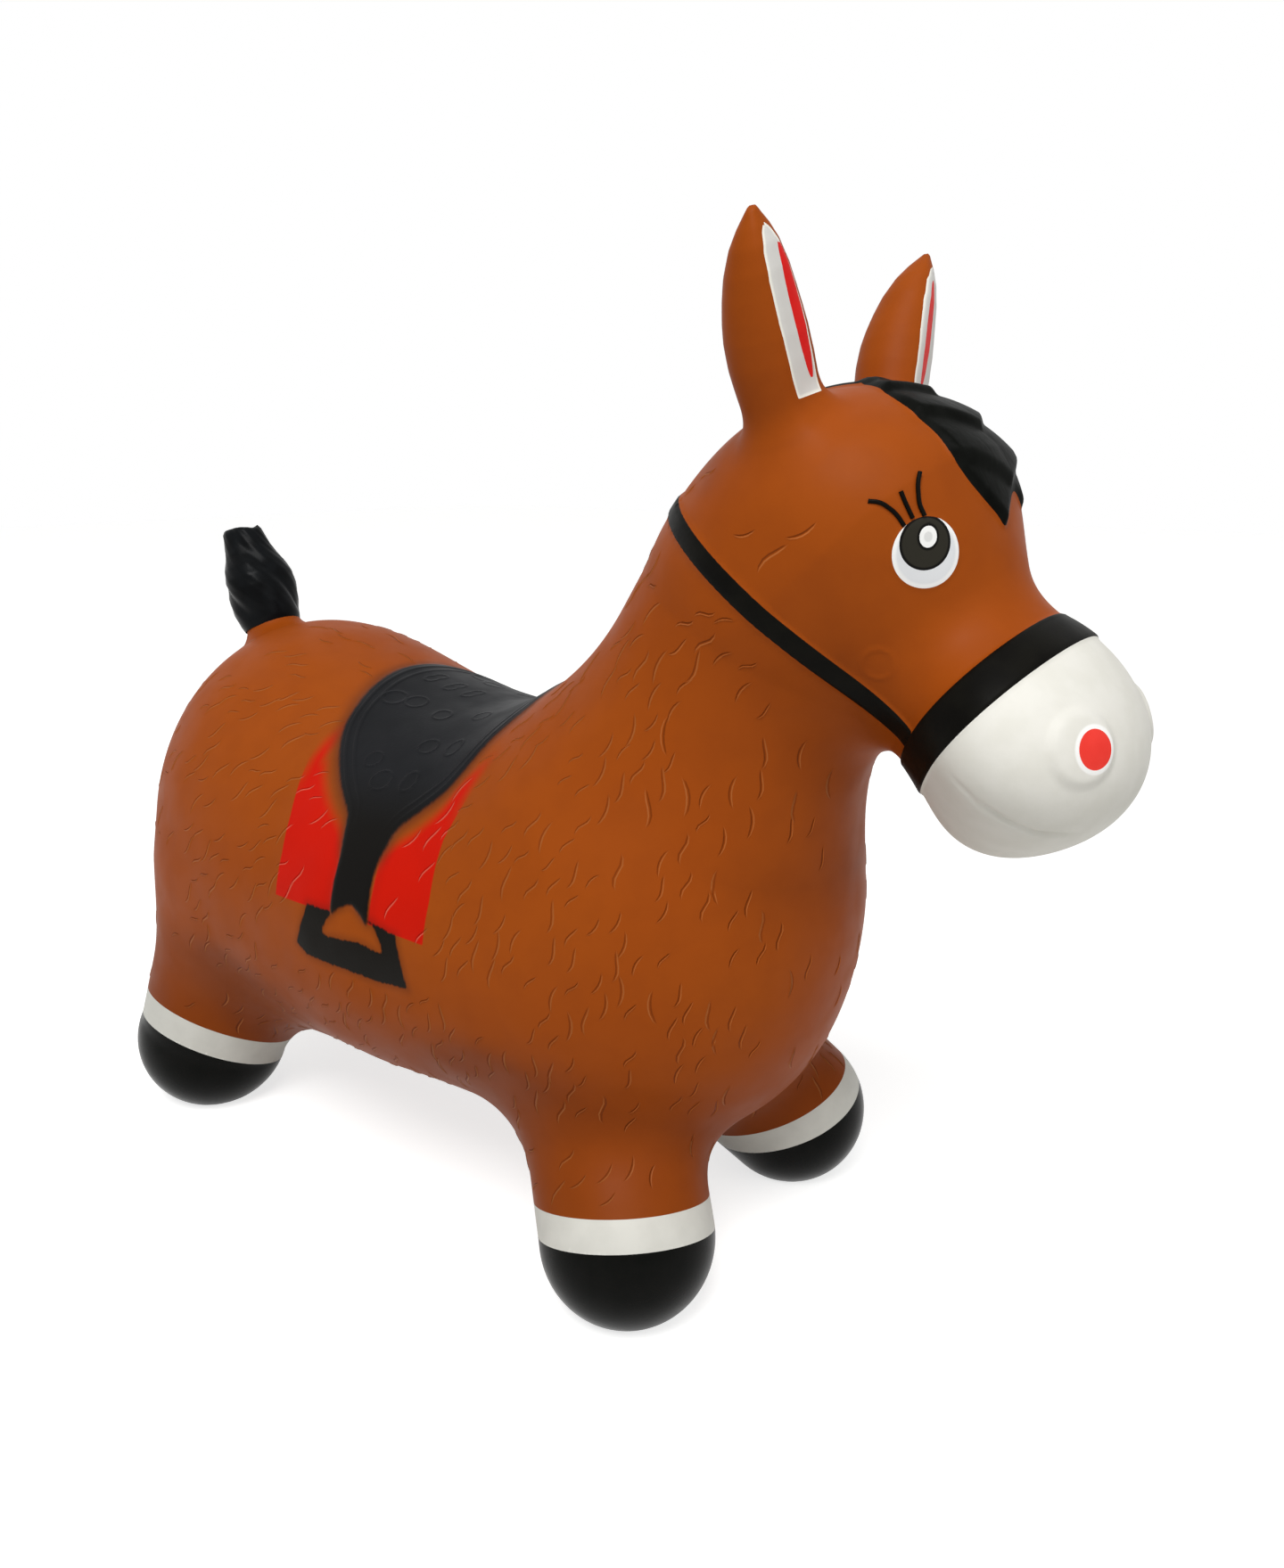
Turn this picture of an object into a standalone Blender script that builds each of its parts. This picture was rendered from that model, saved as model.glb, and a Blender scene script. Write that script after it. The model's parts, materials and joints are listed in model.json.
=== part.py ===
# Bouncy ride-on horse: an air-filled moulded vinyl skin on four round feet.
# Metres. +X points to the nose, +Y to the horse's left, +Z up. Sizes are measured from a point midway between
# the feet; the finished model is then moved so that the origin is on the floor, under the middle of its bounds.
# The skin is one blended form. It is divided where its colour changes or where it flexes,
# and the moulded marks (saddle, bridle, eyes) lie on it as thin pads cut from its own facets.

import math

import bmesh
import bpy
import numpy as np
from mathutils import Matrix, Vector

# Body volumes, each a half-length, half-width and half-height about its centre
RUMP_X = -0.1275
RUMP_Z = 0.173
RUMP_HALF_LENGTH = 0.1050
RUMP_HALF_WIDTH = 0.108
RUMP_HALF_HEIGHT = 0.126
BELLY_X = 0.000
BELLY_Z = 0.161
BELLY_HALF_LENGTH = 0.158
BELLY_HALF_WIDTH = 0.125
BELLY_HALF_HEIGHT = 0.1055
CHEST_X = 0.129
CHEST_Z = 0.161
CHEST_HALF_LENGTH = 0.094
CHEST_HALF_WIDTH = 0.102
CHEST_HALF_HEIGHT = 0.102
BODY_BLEND = 0.063

# Neck, a tapered round from the withers to the poll, set into the chest
NECK_FOOT_AHEAD = 0.012
NECK_FOOT_SINK = 0.030
NECK_FORWARD = 0.052
NECK_RISE = 0.098
NECK_FOOT_RADIUS = 0.073
NECK_TOP_RADIUS = 0.064
NECK_FOOT_X = CHEST_X + NECK_FOOT_AHEAD
NECK_FOOT_Z = CHEST_Z + CHEST_HALF_HEIGHT - NECK_FOOT_SINK
NECK_TOP_X = NECK_FOOT_X + NECK_FORWARD
NECK_TOP_Z = NECK_FOOT_Z + NECK_RISE

# Head: brow, tapered nose bridge, muzzle and chin, each set from the one before, the brow from the neck's front
BROW_SETBACK = 0.026
BROW_RISE = 0.051
BROW_HALF_LENGTH = 0.0545
BROW_HALF_WIDTH = 0.061
BROW_HALF_HEIGHT = 0.042
BRIDGE_TOP_AHEAD = 0.021
BRIDGE_TOP_DROP = 0.040
BRIDGE_TOP_RADIUS = 0.050
BRIDGE_AHEAD = 0.042
BRIDGE_DROP = 0.042
BRIDGE_END_RADIUS = 0.034
MUZZLE_AHEAD = 0.014
MUZZLE_DROP = 0.007
MUZZLE_HALF_LENGTH = 0.048
MUZZLE_HALF_WIDTH = 0.056
MUZZLE_HALF_HEIGHT = 0.0394
MUZZLE_PITCH = -43.0
CHIN_SETBACK = 0.008
CHIN_DROP = 0.023
CHIN_HALF_LENGTH = 0.029
CHIN_HALF_WIDTH = 0.029
CHIN_HALF_HEIGHT = 0.031
CHIN_PITCH = -34.0
HEAD_BLEND = 0.044
CHIN_BLEND = 0.020
BROW_X = NECK_TOP_X + NECK_TOP_RADIUS - BROW_SETBACK
BROW_Z = NECK_TOP_Z + BROW_RISE
BRIDGE_TOP_X = BROW_X + BRIDGE_TOP_AHEAD
BRIDGE_TOP_Z = BROW_Z - BRIDGE_TOP_DROP
BRIDGE_END_X = BRIDGE_TOP_X + BRIDGE_AHEAD
BRIDGE_END_Z = BRIDGE_TOP_Z - BRIDGE_DROP
MUZZLE_X = BRIDGE_END_X + MUZZLE_AHEAD
MUZZLE_Z = BRIDGE_END_Z - MUZZLE_DROP
CHIN_X = MUZZLE_X - CHIN_SETBACK
CHIN_Z = MUZZLE_Z - CHIN_DROP

# Legs, tapered rounds that splay outwards; the feet stand on flat soles
FOOT_BOTTOM_Z = -0.003
SOLE_Z = 0.004
FRONT_FOOT_X = 0.162
FRONT_FOOT_Y = 0.075
FRONT_FOOT_RADIUS = 0.042
FRONT_HIP_RISE = 0.062
FRONT_HIP_BACK = 0.048
FRONT_HIP_IN = 0.040
FRONT_HIP_RADIUS = 0.043
REAR_FOOT_X = -0.1715
REAR_FOOT_Y = 0.075
REAR_FOOT_RADIUS = 0.045
REAR_HIP_RISE = 0.095
REAR_HIP_FORWARD = 0.032
REAR_HIP_IN = 0.022
REAR_HIP_RADIUS = 0.055
LEG_BLEND = 0.026
# Where the leg divides, measured from the foot's centre along the band's tilted axis.
# The sleeve above a band is as long as the foot's travel, so that the foot presses in without touching the barrel.
FRONT_BAND_LOW = 0.0000
FRONT_BAND_HIGH = 0.0165
REAR_BAND_LOW = 0.001
REAR_BAND_HIGH = 0.018
FOOT_TRAVEL = 0.020
FOOT_TRAVEL_CLEARANCE = 0.003
FRONT_BAND_TILT_SHARES = (-0.26, 0.26, 0.93)
REAR_BAND_TILT_SHARES = (0.18, 0.43, 0.88)

# Skin facets and running gaps
SKIN_FACET = 0.0120
SKIN_FACETS_KEPT_SHARE = 0.36
PAD_MARGIN = 0.025
LEG_CUTTER_SHARE = 1.35
DISC_FACETS = 20
EVEN_COUNT = 6
SETTLE_COUNT = 10
SLIDE_SETTLE_COUNT = 3
THIN_EVEN_COUNT = 2
PROBE_COUNT = 12
LEAST_SLOPE_SHARE = 0.2
SLIDE_SHARE = 0.5
SHARP_ANGLE = 40.0
SEAM_GAP = 0.0003
PAD_SEAT = 0.0004
PROBE_STEP = 0.0005
MERGE_DISTANCE = 0.00002
OVERRUN = 0.05

# Seams of the skin. Leaning plates are measured along their lean from the end of the nose bridge.
NECK_SEAM_ALONG = 0.024
HEAD_SEAM_SETBACK = 0.007
HEAD_SEAM_DROP = 0.037
HEAD_SEAM_LEAN = 26.0
NOSEBAND_BACK = -0.00954
NOSEBAND_FRONT = 0.00576
NOSEBAND_LEAN = -39.5
HEAD_SEAM_X = BROW_X - HEAD_SEAM_SETBACK
HEAD_SEAM_Z = BROW_Z - HEAD_SEAM_DROP

# Bridle, saddle and cloth
BRIDLE_THICKNESS = 0.0012
STRAP_LEAN = 56.7
STRAP_LOW = -0.01365
STRAP_HIGH = -0.00595
SADDLE_AHEAD = 0.013
SADDLE_LENGTH = 0.124
SADDLE_OVER = 0.001
SADDLE_THICKNESS = 0.0016
LEATHER_LOW_RISE = 0.023
CLOTH_AHEAD = 0.0095
CLOTH_LENGTH = 0.105
CLOTH_LOW_DROP = 0.003
CLOTH_HEIGHT = 0.081
CLOTH_THICKNESS = 0.0009
CLOTH_EDGE_GAP = 0.0006
STIRRUP_AHEAD = 0.016
STIRRUP_LENGTH = 0.070
STIRRUP_DROP = 0.024
STIRRUP_OVERLAP = 0.0022
STIRRUP_THICKNESS = 0.0012
SADDLE_X = BELLY_X + SADDLE_AHEAD
SADDLE_TOP_Z = RUMP_Z + RUMP_HALF_HEIGHT + SADDLE_OVER
LEATHER_LOW_Z = BELLY_Z + LEATHER_LOW_RISE
CLOTH_X = SADDLE_X + CLOTH_AHEAD
CLOTH_LOW_Z = LEATHER_LOW_Z - CLOTH_LOW_DROP
CLOTH_TOP_Z = CLOTH_LOW_Z + CLOTH_HEIGHT
STIRRUP_X = SADDLE_X + STIRRUP_AHEAD
STIRRUP_LOW_Z = CLOTH_LOW_Z - STIRRUP_DROP
STIRRUP_TOP_Z = CLOTH_LOW_Z + STIRRUP_OVERLAP

# Forelock over the brow, and the mane that runs down behind the ears, measured from the brow along their slope
FORELOCK_BACK = -0.0246
FORELOCK_FRONT = 0.0634
FORELOCK_HALF_WIDTH = 0.036
FORELOCK_FACING = 37.0
FORELOCK_THICKNESS = 0.0035
MANE_HALF_WIDTH = 0.007
MANE_THICKNESS = 0.0022
MANE_BACK = -0.0796

# Eyes and nostrils, placed on the head as seen from its side
EYE_AHEAD = 0.0465
EYE_DROP = 0.0190
EYE_RADIUS = 0.0132
PUPIL_SETBACK = 0.0016
PUPIL_RISE = 0.0037
PUPIL_RADIUS = 0.0102
SPARK_AHEAD = 0.0004
SPARK_RISE = 0.0021
SPARK_RADIUS = 0.0033
EYE_THICKNESS = 0.0006
EYE_X = BROW_X + EYE_AHEAD
EYE_Z = BROW_Z - EYE_DROP
PUPIL_X = EYE_X - PUPIL_SETBACK
PUPIL_Z = EYE_Z + PUPIL_RISE
SPARK_X = PUPIL_X + SPARK_AHEAD
SPARK_Z = PUPIL_Z + SPARK_RISE
NOSTRIL_AHEAD = 0.0347
NOSTRIL_RISE = 0.0030
NOSTRIL_INSET = 0.022
NOSTRIL_RADIUS = 0.0125
NOSTRIL_HEIGHT = 0.0018
NOSTRIL_DOT_RADIUS = 0.0066
NOSTRIL_DOT_HEIGHT = 0.0006
NOSTRIL_X = MUZZLE_X + NOSTRIL_AHEAD
NOSTRIL_Y = MUZZLE_HALF_WIDTH - NOSTRIL_INSET
NOSTRIL_Z = MUZZLE_Z + NOSTRIL_RISE

# Ears, rooted in the brow
EAR_ROOT_SETBACK = 0.0080
EAR_ROOT_INSET = 0.0248
EAR_ROOT_SINK = 0.0330
EAR_LEAN_BACK = 0.0050
EAR_SPLAY = 0.0363
EAR_RISE = 0.0920
EAR_HALF_WIDTH = 0.0157
EAR_HALF_DEPTH = 0.0172
EAR_BOW = 0.0060
EAR_TURN = 6.0
EAR_SPLIT_SHARE = 0.30
EAR_RINGS = 15
LINING_THICKNESS = 0.0007
LINING_INNER_THICKNESS = 0.0006
EAR_ROOT_X = BROW_X - EAR_ROOT_SETBACK
EAR_ROOT_Y = BROW_HALF_WIDTH - EAR_ROOT_INSET
EAR_ROOT_Z = BROW_Z + BROW_HALF_HEIGHT - EAR_ROOT_SINK
EAR_TIP_X = EAR_ROOT_X - EAR_LEAN_BACK
EAR_TIP_Y = EAR_ROOT_Y + EAR_SPLAY
EAR_TIP_Z = EAR_ROOT_Z + EAR_RISE

# Tail, rooted a little below the top of the rump
TAIL_SETBACK = 0.0410
TAIL_ROOT_SINK = 0.0270
TAIL_LEAN_BACK = 0.0350
TAIL_RISE = 0.0890
TAIL_SPLIT_SHARE = 0.34
TAIL_ROOT_RADIUS = 0.0165
TAIL_LOBE_HEIGHT_SHARE = 0.13
TAIL_LOBES = 3
TAIL_TWIST = 200.0
TAIL_SIDES = 18
TAIL_RINGS = 14
TAIL_ROOT_X = RUMP_X - TAIL_SETBACK

# Inflation valve under the belly
VALVE_SETBACK = 0.030
VALVE_SEAT_RADIUS = 0.0100
VALVE_SEAT_HEIGHT = 0.0140
VALVE_BORE_RADIUS = 0.0044
VALVE_RUNNING_GAP = 0.0003
PLUG_CAP_RADIUS = 0.0075
PLUG_CAP_HEIGHT = 0.0020
PLUG_STEM_HEIGHT = 0.0115
PLUG_TIP_RADIUS = 0.0036
PLUG_GRIP_WIDTH = 0.0024
PLUG_GRIP_HEIGHT = 0.0040
VALVE_FACETS = 20
VALVE_X = BELLY_X - VALVE_SETBACK

# Shares of the sizes above that shape the outlines, chosen by hand
LEATHER_MIDDLE_SHARE = 0.13
CAP_EDGE_SHARE = 0.86
STEM_STRAIGHT_SHARE = 0.6
GRIP_SHARE = 0.8
SADDLE_OUTLINE_SHARES = (
    (-0.50, 1.02), (-0.50, 0.83), (-0.455, 0.75), (-0.36, 0.62), (-0.25, 0.50), (-0.12, 0.42),
    (-0.04, 0.33), (0.00, 0.20), (0.02, 0.08), (0.04, 0.00), (0.22, 0.00), (0.215, 0.12),
    (0.225, 0.26), (0.26, 0.37), (0.35, 0.47), (0.41, 0.62), (0.47, 0.76), (0.50, 0.85), (0.50, 1.02))
CLOTH_OUTLINE_SHARES = (
    (-0.56, 0.97), (-0.55, 0.78), (-0.50, 0.50), (-0.48, 0.28), (-0.47, 0.02), (-0.05, 0.00),
    (0.16, 0.00), (0.49, -0.02), (0.50, 0.27), (0.475, 0.50), (0.52, 0.76), (0.57, 1.00))
STIRRUP_OUTLINE_SHARES = ((-0.42, 1.00), (-0.50, 0.40), (-0.46, 0.04), (0.50, 0.00), (0.42, 0.85), (0.24, 1.00))
STIRRUP_HOLE_SHARES = ((-0.23, 0.50), (0.30, 0.44), (0.13, 0.82), (0.01, 0.84))
FORELOCK_OUTLINE_SHARES = (
    (0.00, 0.40), (0.14, 0.62), (0.28, 0.88), (0.46, 0.97), (0.62, 0.98), (0.76, 0.93), (0.90, 0.76),
    (0.97, 0.64), (1.00, 0.52), (0.95, 0.34), (0.88, 0.10), (0.90, -0.16), (0.93, -0.40), (0.90, -0.58),
    (0.80, -0.74), (0.64, -0.84), (0.46, -0.80), (0.28, -0.66), (0.14, -0.48), (0.00, -0.34))
EAR_WIDTH_SHARES = (
    (0.00, 0.92), (0.15, 0.92), (0.33, 0.97), (0.45, 1.00), (0.55, 0.98), (0.62, 0.93), (0.70, 0.85),
    (0.78, 0.75), (0.87, 0.57), (0.93, 0.38), (0.97, 0.22), (1.00, 0.06))
EAR_SECTION_SHARES = (
    (0.80, 0.00), (0.82, 0.27), (0.86, 0.52), (0.62, 0.80), (0.22, 0.98), (-0.26, 0.96),
    (-0.70, 0.70), (-0.95, 0.28), (-0.95, -0.28), (-0.70, -0.70), (-0.26, -0.96), (0.22, -0.98),
    (0.62, -0.80), (0.86, -0.52), (0.82, -0.27))
LINING_START_SHARE = 0.35
LINING_END_SHARE = 0.93
INNER_START_SHARE = 0.42
INNER_END_SHARE = 0.87
TAIL_RADIUS_SHARES = (
    (0.00, 1.25), (0.20, 1.06), (0.34, 1.00), (0.46, 1.14), (0.58, 1.28), (0.70, 1.12), (0.80, 0.86),
    (0.90, 0.82), (0.96, 0.78), (1.00, 0.60))
MIRROR = np.array((1.0, -1.0, 1.0))


# Signed heights above blended volumes

def ellipsoid_height(points, centre, radii, pitch=0.0):
    local = points - np.array(centre)
    if pitch:
        cosine = math.cos(math.radians(pitch))
        sine = math.sin(math.radians(pitch))
        along = local[:, 0] * cosine + local[:, 2] * sine
        up = local[:, 2] * cosine - local[:, 0] * sine
        local = np.stack((along, local[:, 1], up), axis=1)
    radii = np.array(radii)
    near = np.linalg.norm(local / radii, axis=1)
    slope = np.linalg.norm(local / radii ** 2, axis=1)
    slope = np.maximum(slope, np.finfo(float).tiny)
    return near * (near - 1.0) / slope


def tapered_height(points, start, end, start_radius, end_radius):
    start = np.array(start)
    run = np.array(end) - start
    length = np.linalg.norm(run)
    local = points - start
    along = local @ run / length
    across = np.sqrt(np.maximum((local ** 2).sum(axis=1) - along ** 2, 0.0))
    taper = (start_radius - end_radius) / length
    share = np.clip((along + across * taper / math.sqrt(1.0 - taper ** 2)) / length, 0.0, 1.0)
    nearest = start + share[:, None] * run
    return np.linalg.norm(points - nearest, axis=1) - (start_radius + (end_radius - start_radius) * share)


def blended(first, second, width):
    overlap = np.maximum(width - np.abs(first - second), 0.0)
    return np.minimum(first, second) - overlap ** 2 / (4.0 * width)


def leg_sizes(end):
    # foot centre, hip centre, foot radius and hip radius of the left leg
    if end == "front":
        foot = np.array((FRONT_FOOT_X, FRONT_FOOT_Y, FRONT_FOOT_RADIUS + FOOT_BOTTOM_Z))
        hip = foot + np.array((-FRONT_HIP_BACK, -FRONT_HIP_IN, FRONT_HIP_RISE))
        return foot, hip, FRONT_FOOT_RADIUS, FRONT_HIP_RADIUS
    foot = np.array((REAR_FOOT_X, REAR_FOOT_Y, REAR_FOOT_RADIUS + FOOT_BOTTOM_Z))
    hip = foot + np.array((REAR_HIP_FORWARD, -REAR_HIP_IN, REAR_HIP_RISE))
    return foot, hip, REAR_FOOT_RADIUS, REAR_HIP_RADIUS


def barrel_height(points):
    # height above the blended rump, belly and chest alone
    rump = ellipsoid_height(points, (RUMP_X, 0.0, RUMP_Z), (RUMP_HALF_LENGTH, RUMP_HALF_WIDTH, RUMP_HALF_HEIGHT))
    belly = ellipsoid_height(
        points, (BELLY_X, 0.0, BELLY_Z), (BELLY_HALF_LENGTH, BELLY_HALF_WIDTH, BELLY_HALF_HEIGHT))
    chest = ellipsoid_height(
        points, (CHEST_X, 0.0, CHEST_Z), (CHEST_HALF_LENGTH, CHEST_HALF_WIDTH, CHEST_HALF_HEIGHT))
    return blended(blended(rump, belly, BODY_BLEND), chest, BODY_BLEND)


def skin_height(points):
    # height of each point above the horse's skin, negative inside
    folded = points * np.where(points[:, 1:2] < 0.0, MIRROR, 1.0)
    brow = ellipsoid_height(points, (BROW_X, 0.0, BROW_Z), (BROW_HALF_LENGTH, BROW_HALF_WIDTH, BROW_HALF_HEIGHT))
    bridge = tapered_height(
        points, (BRIDGE_TOP_X, 0.0, BRIDGE_TOP_Z), (BRIDGE_END_X, 0.0, BRIDGE_END_Z),
        BRIDGE_TOP_RADIUS, BRIDGE_END_RADIUS)
    muzzle = ellipsoid_height(
        points, (MUZZLE_X, 0.0, MUZZLE_Z), (MUZZLE_HALF_LENGTH, MUZZLE_HALF_WIDTH, MUZZLE_HALF_HEIGHT),
        MUZZLE_PITCH)
    chin = ellipsoid_height(
        points, (CHIN_X, 0.0, CHIN_Z), (CHIN_HALF_LENGTH, CHIN_HALF_WIDTH, CHIN_HALF_HEIGHT), CHIN_PITCH)
    head = blended(brow, bridge, HEAD_BLEND)
    head = blended(head, blended(muzzle, chin, CHIN_BLEND), CHIN_BLEND)
    neck = tapered_height(
        points, (NECK_FOOT_X, 0.0, NECK_FOOT_Z), (NECK_TOP_X, 0.0, NECK_TOP_Z), NECK_FOOT_RADIUS, NECK_TOP_RADIUS)
    whole = blended(barrel_height(points), blended(neck, head, HEAD_BLEND), BODY_BLEND)
    for end in ("front", "rear"):
        foot, hip, foot_radius, hip_radius = leg_sizes(end)
        whole = blended(whole, tapered_height(folded, hip, foot, hip_radius, foot_radius), LEG_BLEND)
    return whole


def skin_outward(points):
    # unit direction away from the skin at each point
    steps = []
    for axis in np.eye(3) * PROBE_STEP:
        steps.append(skin_height(points + axis) - skin_height(points - axis))
    slope = np.stack(steps, axis=1)
    return slope / np.linalg.norm(slope, axis=1, keepdims=True)


def settle(points, rounds=SETTLE_COUNT):
    # bring points onto the skin along its own slope
    for _ in range(rounds):
        points = points - skin_height(points)[:, None] * skin_outward(points)
    return points


def upright_level(x, start, way):
    # height of the skin over or under a place on the middle line, from above (1) or below (-1)
    probe = np.array(((x, 0.0, start),))
    for _ in range(PROBE_COUNT):
        probe[:, 2] -= way * skin_height(probe)
    return float(probe[0, 2])


def along_lean(x, z, lean):
    return x * math.cos(math.radians(lean)) + z * math.sin(math.radians(lean))


# Mesh helpers

def material(name, colour, roughness):
    found = bpy.data.materials.new(name)
    found.use_nodes = True
    shader = found.node_tree.nodes["Principled BSDF"]
    shader.inputs["Base Color"].default_value = (*colour, 1.0)
    shader.inputs["Roughness"].default_value = roughness
    shader.inputs["Metallic"].default_value = 0.0
    found.diffuse_color = (*colour, 1.0)
    return found


def mesh_object(name, points, faces, finish=None):
    mesh = bpy.data.meshes.new(name)
    mesh.from_pydata([tuple(point) for point in points], [], [tuple(face) for face in faces])
    mesh.update()
    made = bpy.data.objects.new(name, mesh)
    bpy.context.scene.collection.objects.link(made)
    if finish is not None:
        mesh.materials.append(finish)
    return made


def form_of(piece):
    form = bmesh.new()
    form.from_mesh(piece.data)
    return form


def store(form, piece):
    form.to_mesh(piece.data)
    form.free()
    piece.data.update()
    piece.data.shade_smooth()
    piece.data.set_sharp_from_angle(angle=math.radians(SHARP_ANGLE))


def copy_piece(piece, name, finish=None):
    made = bpy.data.objects.new(name, piece.data.copy())
    bpy.context.scene.collection.objects.link(made)
    if finish is not None:
        made.data.materials.clear()
        made.data.materials.append(finish)
    return made


def remove(piece):
    bpy.data.objects.remove(piece, do_unlink=True)


def cut_flat(piece, point, normal):
    # keep what lies behind a plane, and close the cut
    form = form_of(piece)
    everything = form.verts[:] + form.edges[:] + form.faces[:]
    bmesh.ops.bisect_plane(
        form, geom=everything, dist=MERGE_DISTANCE, plane_co=Vector(point), plane_no=Vector(normal),
        clear_outer=True)
    rim = [edge for edge in form.edges if edge.is_boundary]
    bmesh.ops.edgeloop_fill(form, edges=rim)
    bmesh.ops.triangulate(form, faces=[face for face in form.faces if len(face.verts) > 3])
    store(form, piece)


def carve(piece, cutter, operation):
    # apply a Boolean by a cutter solid
    modifier = piece.modifiers.new("cut", "BOOLEAN")
    modifier.operation = operation
    modifier.object = cutter
    bpy.context.view_layer.update()
    evaluated = piece.evaluated_get(bpy.context.evaluated_depsgraph_get())
    mesh = bpy.data.meshes.new_from_object(evaluated)
    piece.modifiers.clear()
    piece.data = mesh
    form = form_of(piece)
    bmesh.ops.remove_doubles(form, verts=form.verts, dist=MERGE_DISTANCE)
    bmesh.ops.dissolve_degenerate(form, edges=form.edges, dist=MERGE_DISTANCE)
    bmesh.ops.triangulate(form, faces=form.faces)
    store(form, piece)


def guide(piece):
    piece.hide_render = True
    piece.display_type = "WIRE"
    return piece


def mirrored(piece, name):
    # the same piece on the horse's other side
    made = copy_piece(piece, name)
    form = form_of(made)
    bmesh.ops.scale(form, vec=Vector(MIRROR), verts=form.verts)
    bmesh.ops.reverse_faces(form, faces=form.faces)
    store(form, made)
    return made


def smooth_outline(points, steps=4):
    # a closed curve through hand-placed points
    count = len(points)
    curve = []
    for index in range(count):
        before, here, after, beyond = (np.array(points[(index + shift) % count]) for shift in (-1, 0, 1, 2))
        for step in range(steps):
            share = step / steps
            curve.append(0.5 * (
                2.0 * here + (after - before) * share
                + (2.0 * before - 5.0 * here + 4.0 * after - beyond) * share ** 2
                + (3.0 * here - 3.0 * after + beyond - before) * share ** 3))
    return curve


def grown(outline, distance):
    # the outline moved outwards, measured square to itself
    count = len(outline)
    area = sum(
        outline[i][0] * outline[(i + 1) % count][1] - outline[(i + 1) % count][0] * outline[i][1]
        for i in range(count))
    turn = math.copysign(1.0, area)
    moved = []
    for index in range(count):
        run = np.array(outline[(index + 1) % count]) - np.array(outline[index - 1])
        run = run / np.linalg.norm(run)
        moved.append(np.array(outline[index]) + turn * distance * np.array((run[1], -run[0])))
    return moved


def prism(name, outline, to_world, low, high):
    # a straight bar of any outline, from low to high along its own axis
    count = len(outline)
    points = [to_world(point, low) for point in outline] + [to_world(point, high) for point in outline]
    faces = [tuple(range(count)), tuple(range(2 * count - 1, count - 1, -1))]
    for index in range(count):
        following = (index + 1) % count
        faces.append((index, index + count, following + count, following))
    made = guide(mesh_object(name, points, faces))
    form = form_of(made)
    bmesh.ops.recalc_face_normals(form, faces=form.faces)
    store(form, made)
    return made


def side_prism(name, outline, side=0):
    # a bar across the horse; side 1 cuts only its left flank
    reach = BELLY_HALF_WIDTH + OVERRUN
    low = MERGE_DISTANCE if side else -reach
    return prism(name, outline, lambda point, y: (point[0], y, point[1]), low, reach)


def slab_cutter(name, lean, low, high):
    # a thick plate across the horse, between two distances along a leaning direction from the nose bridge's end
    start = along_lean(BRIDGE_END_X, BRIDGE_END_Z, lean)
    direction = Vector((math.cos(math.radians(lean)), 0.0, math.sin(math.radians(lean))))
    along = Vector((-direction.z, 0.0, direction.x))
    reach = MUZZLE_X + EAR_TIP_Z
    outline = [
        (start + low, -reach), (start + high, -reach), (start + high, reach), (start + low, reach)]
    return prism(
        name, outline, lambda point, y: direction * point[0] + along * point[1] + Vector((0.0, y, 0.0)),
        -reach, reach)


def rod(name, centre, direction, radius, low, high, facets=DISC_FACETS):
    turn = Vector(direction).to_track_quat("Z", "Y").to_matrix()
    outline = [
        (radius * math.cos(2.0 * math.pi * i / facets), radius * math.sin(2.0 * math.pi * i / facets))
        for i in range(facets)]
    return prism(name, outline, lambda point, z: Vector(centre) + turn @ Vector((*point, z)), low, high)


def loft(name, rings, finish):
    # a closed form through equal rings, with flat ends
    count = len(rings[0])
    points = [point for ring in rings for point in ring]
    faces = [tuple(reversed(range(count)))]
    for row in range(len(rings) - 1):
        for column in range(count):
            following = (column + 1) % count
            faces.append((
                row * count + column, row * count + following,
                (row + 1) * count + following, (row + 1) * count + column))
    faces.append(tuple(range(len(points) - count, len(points))))
    made = mesh_object(name, points, faces, finish)
    form = form_of(made)
    bmesh.ops.triangulate(form, faces=form.faces)
    bmesh.ops.recalc_face_normals(form, faces=form.faces)
    store(form, made)
    return made


def turned(name, profile, centre, finish):
    # a solid of revolution about an upright axis, profile as (radius, height)
    rings = []
    for radius, height in profile:
        rings.append([
            (centre[0] + radius * math.cos(2.0 * math.pi * i / VALVE_FACETS),
             centre[1] + radius * math.sin(2.0 * math.pi * i / VALVE_FACETS),
             centre[2] + height)
            for i in range(VALVE_FACETS)])
    return loft(name, rings, finish)


def share_at(table, share):
    return float(np.interp(share, [row[0] for row in table], [row[1] for row in table]))


# The skin

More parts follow.
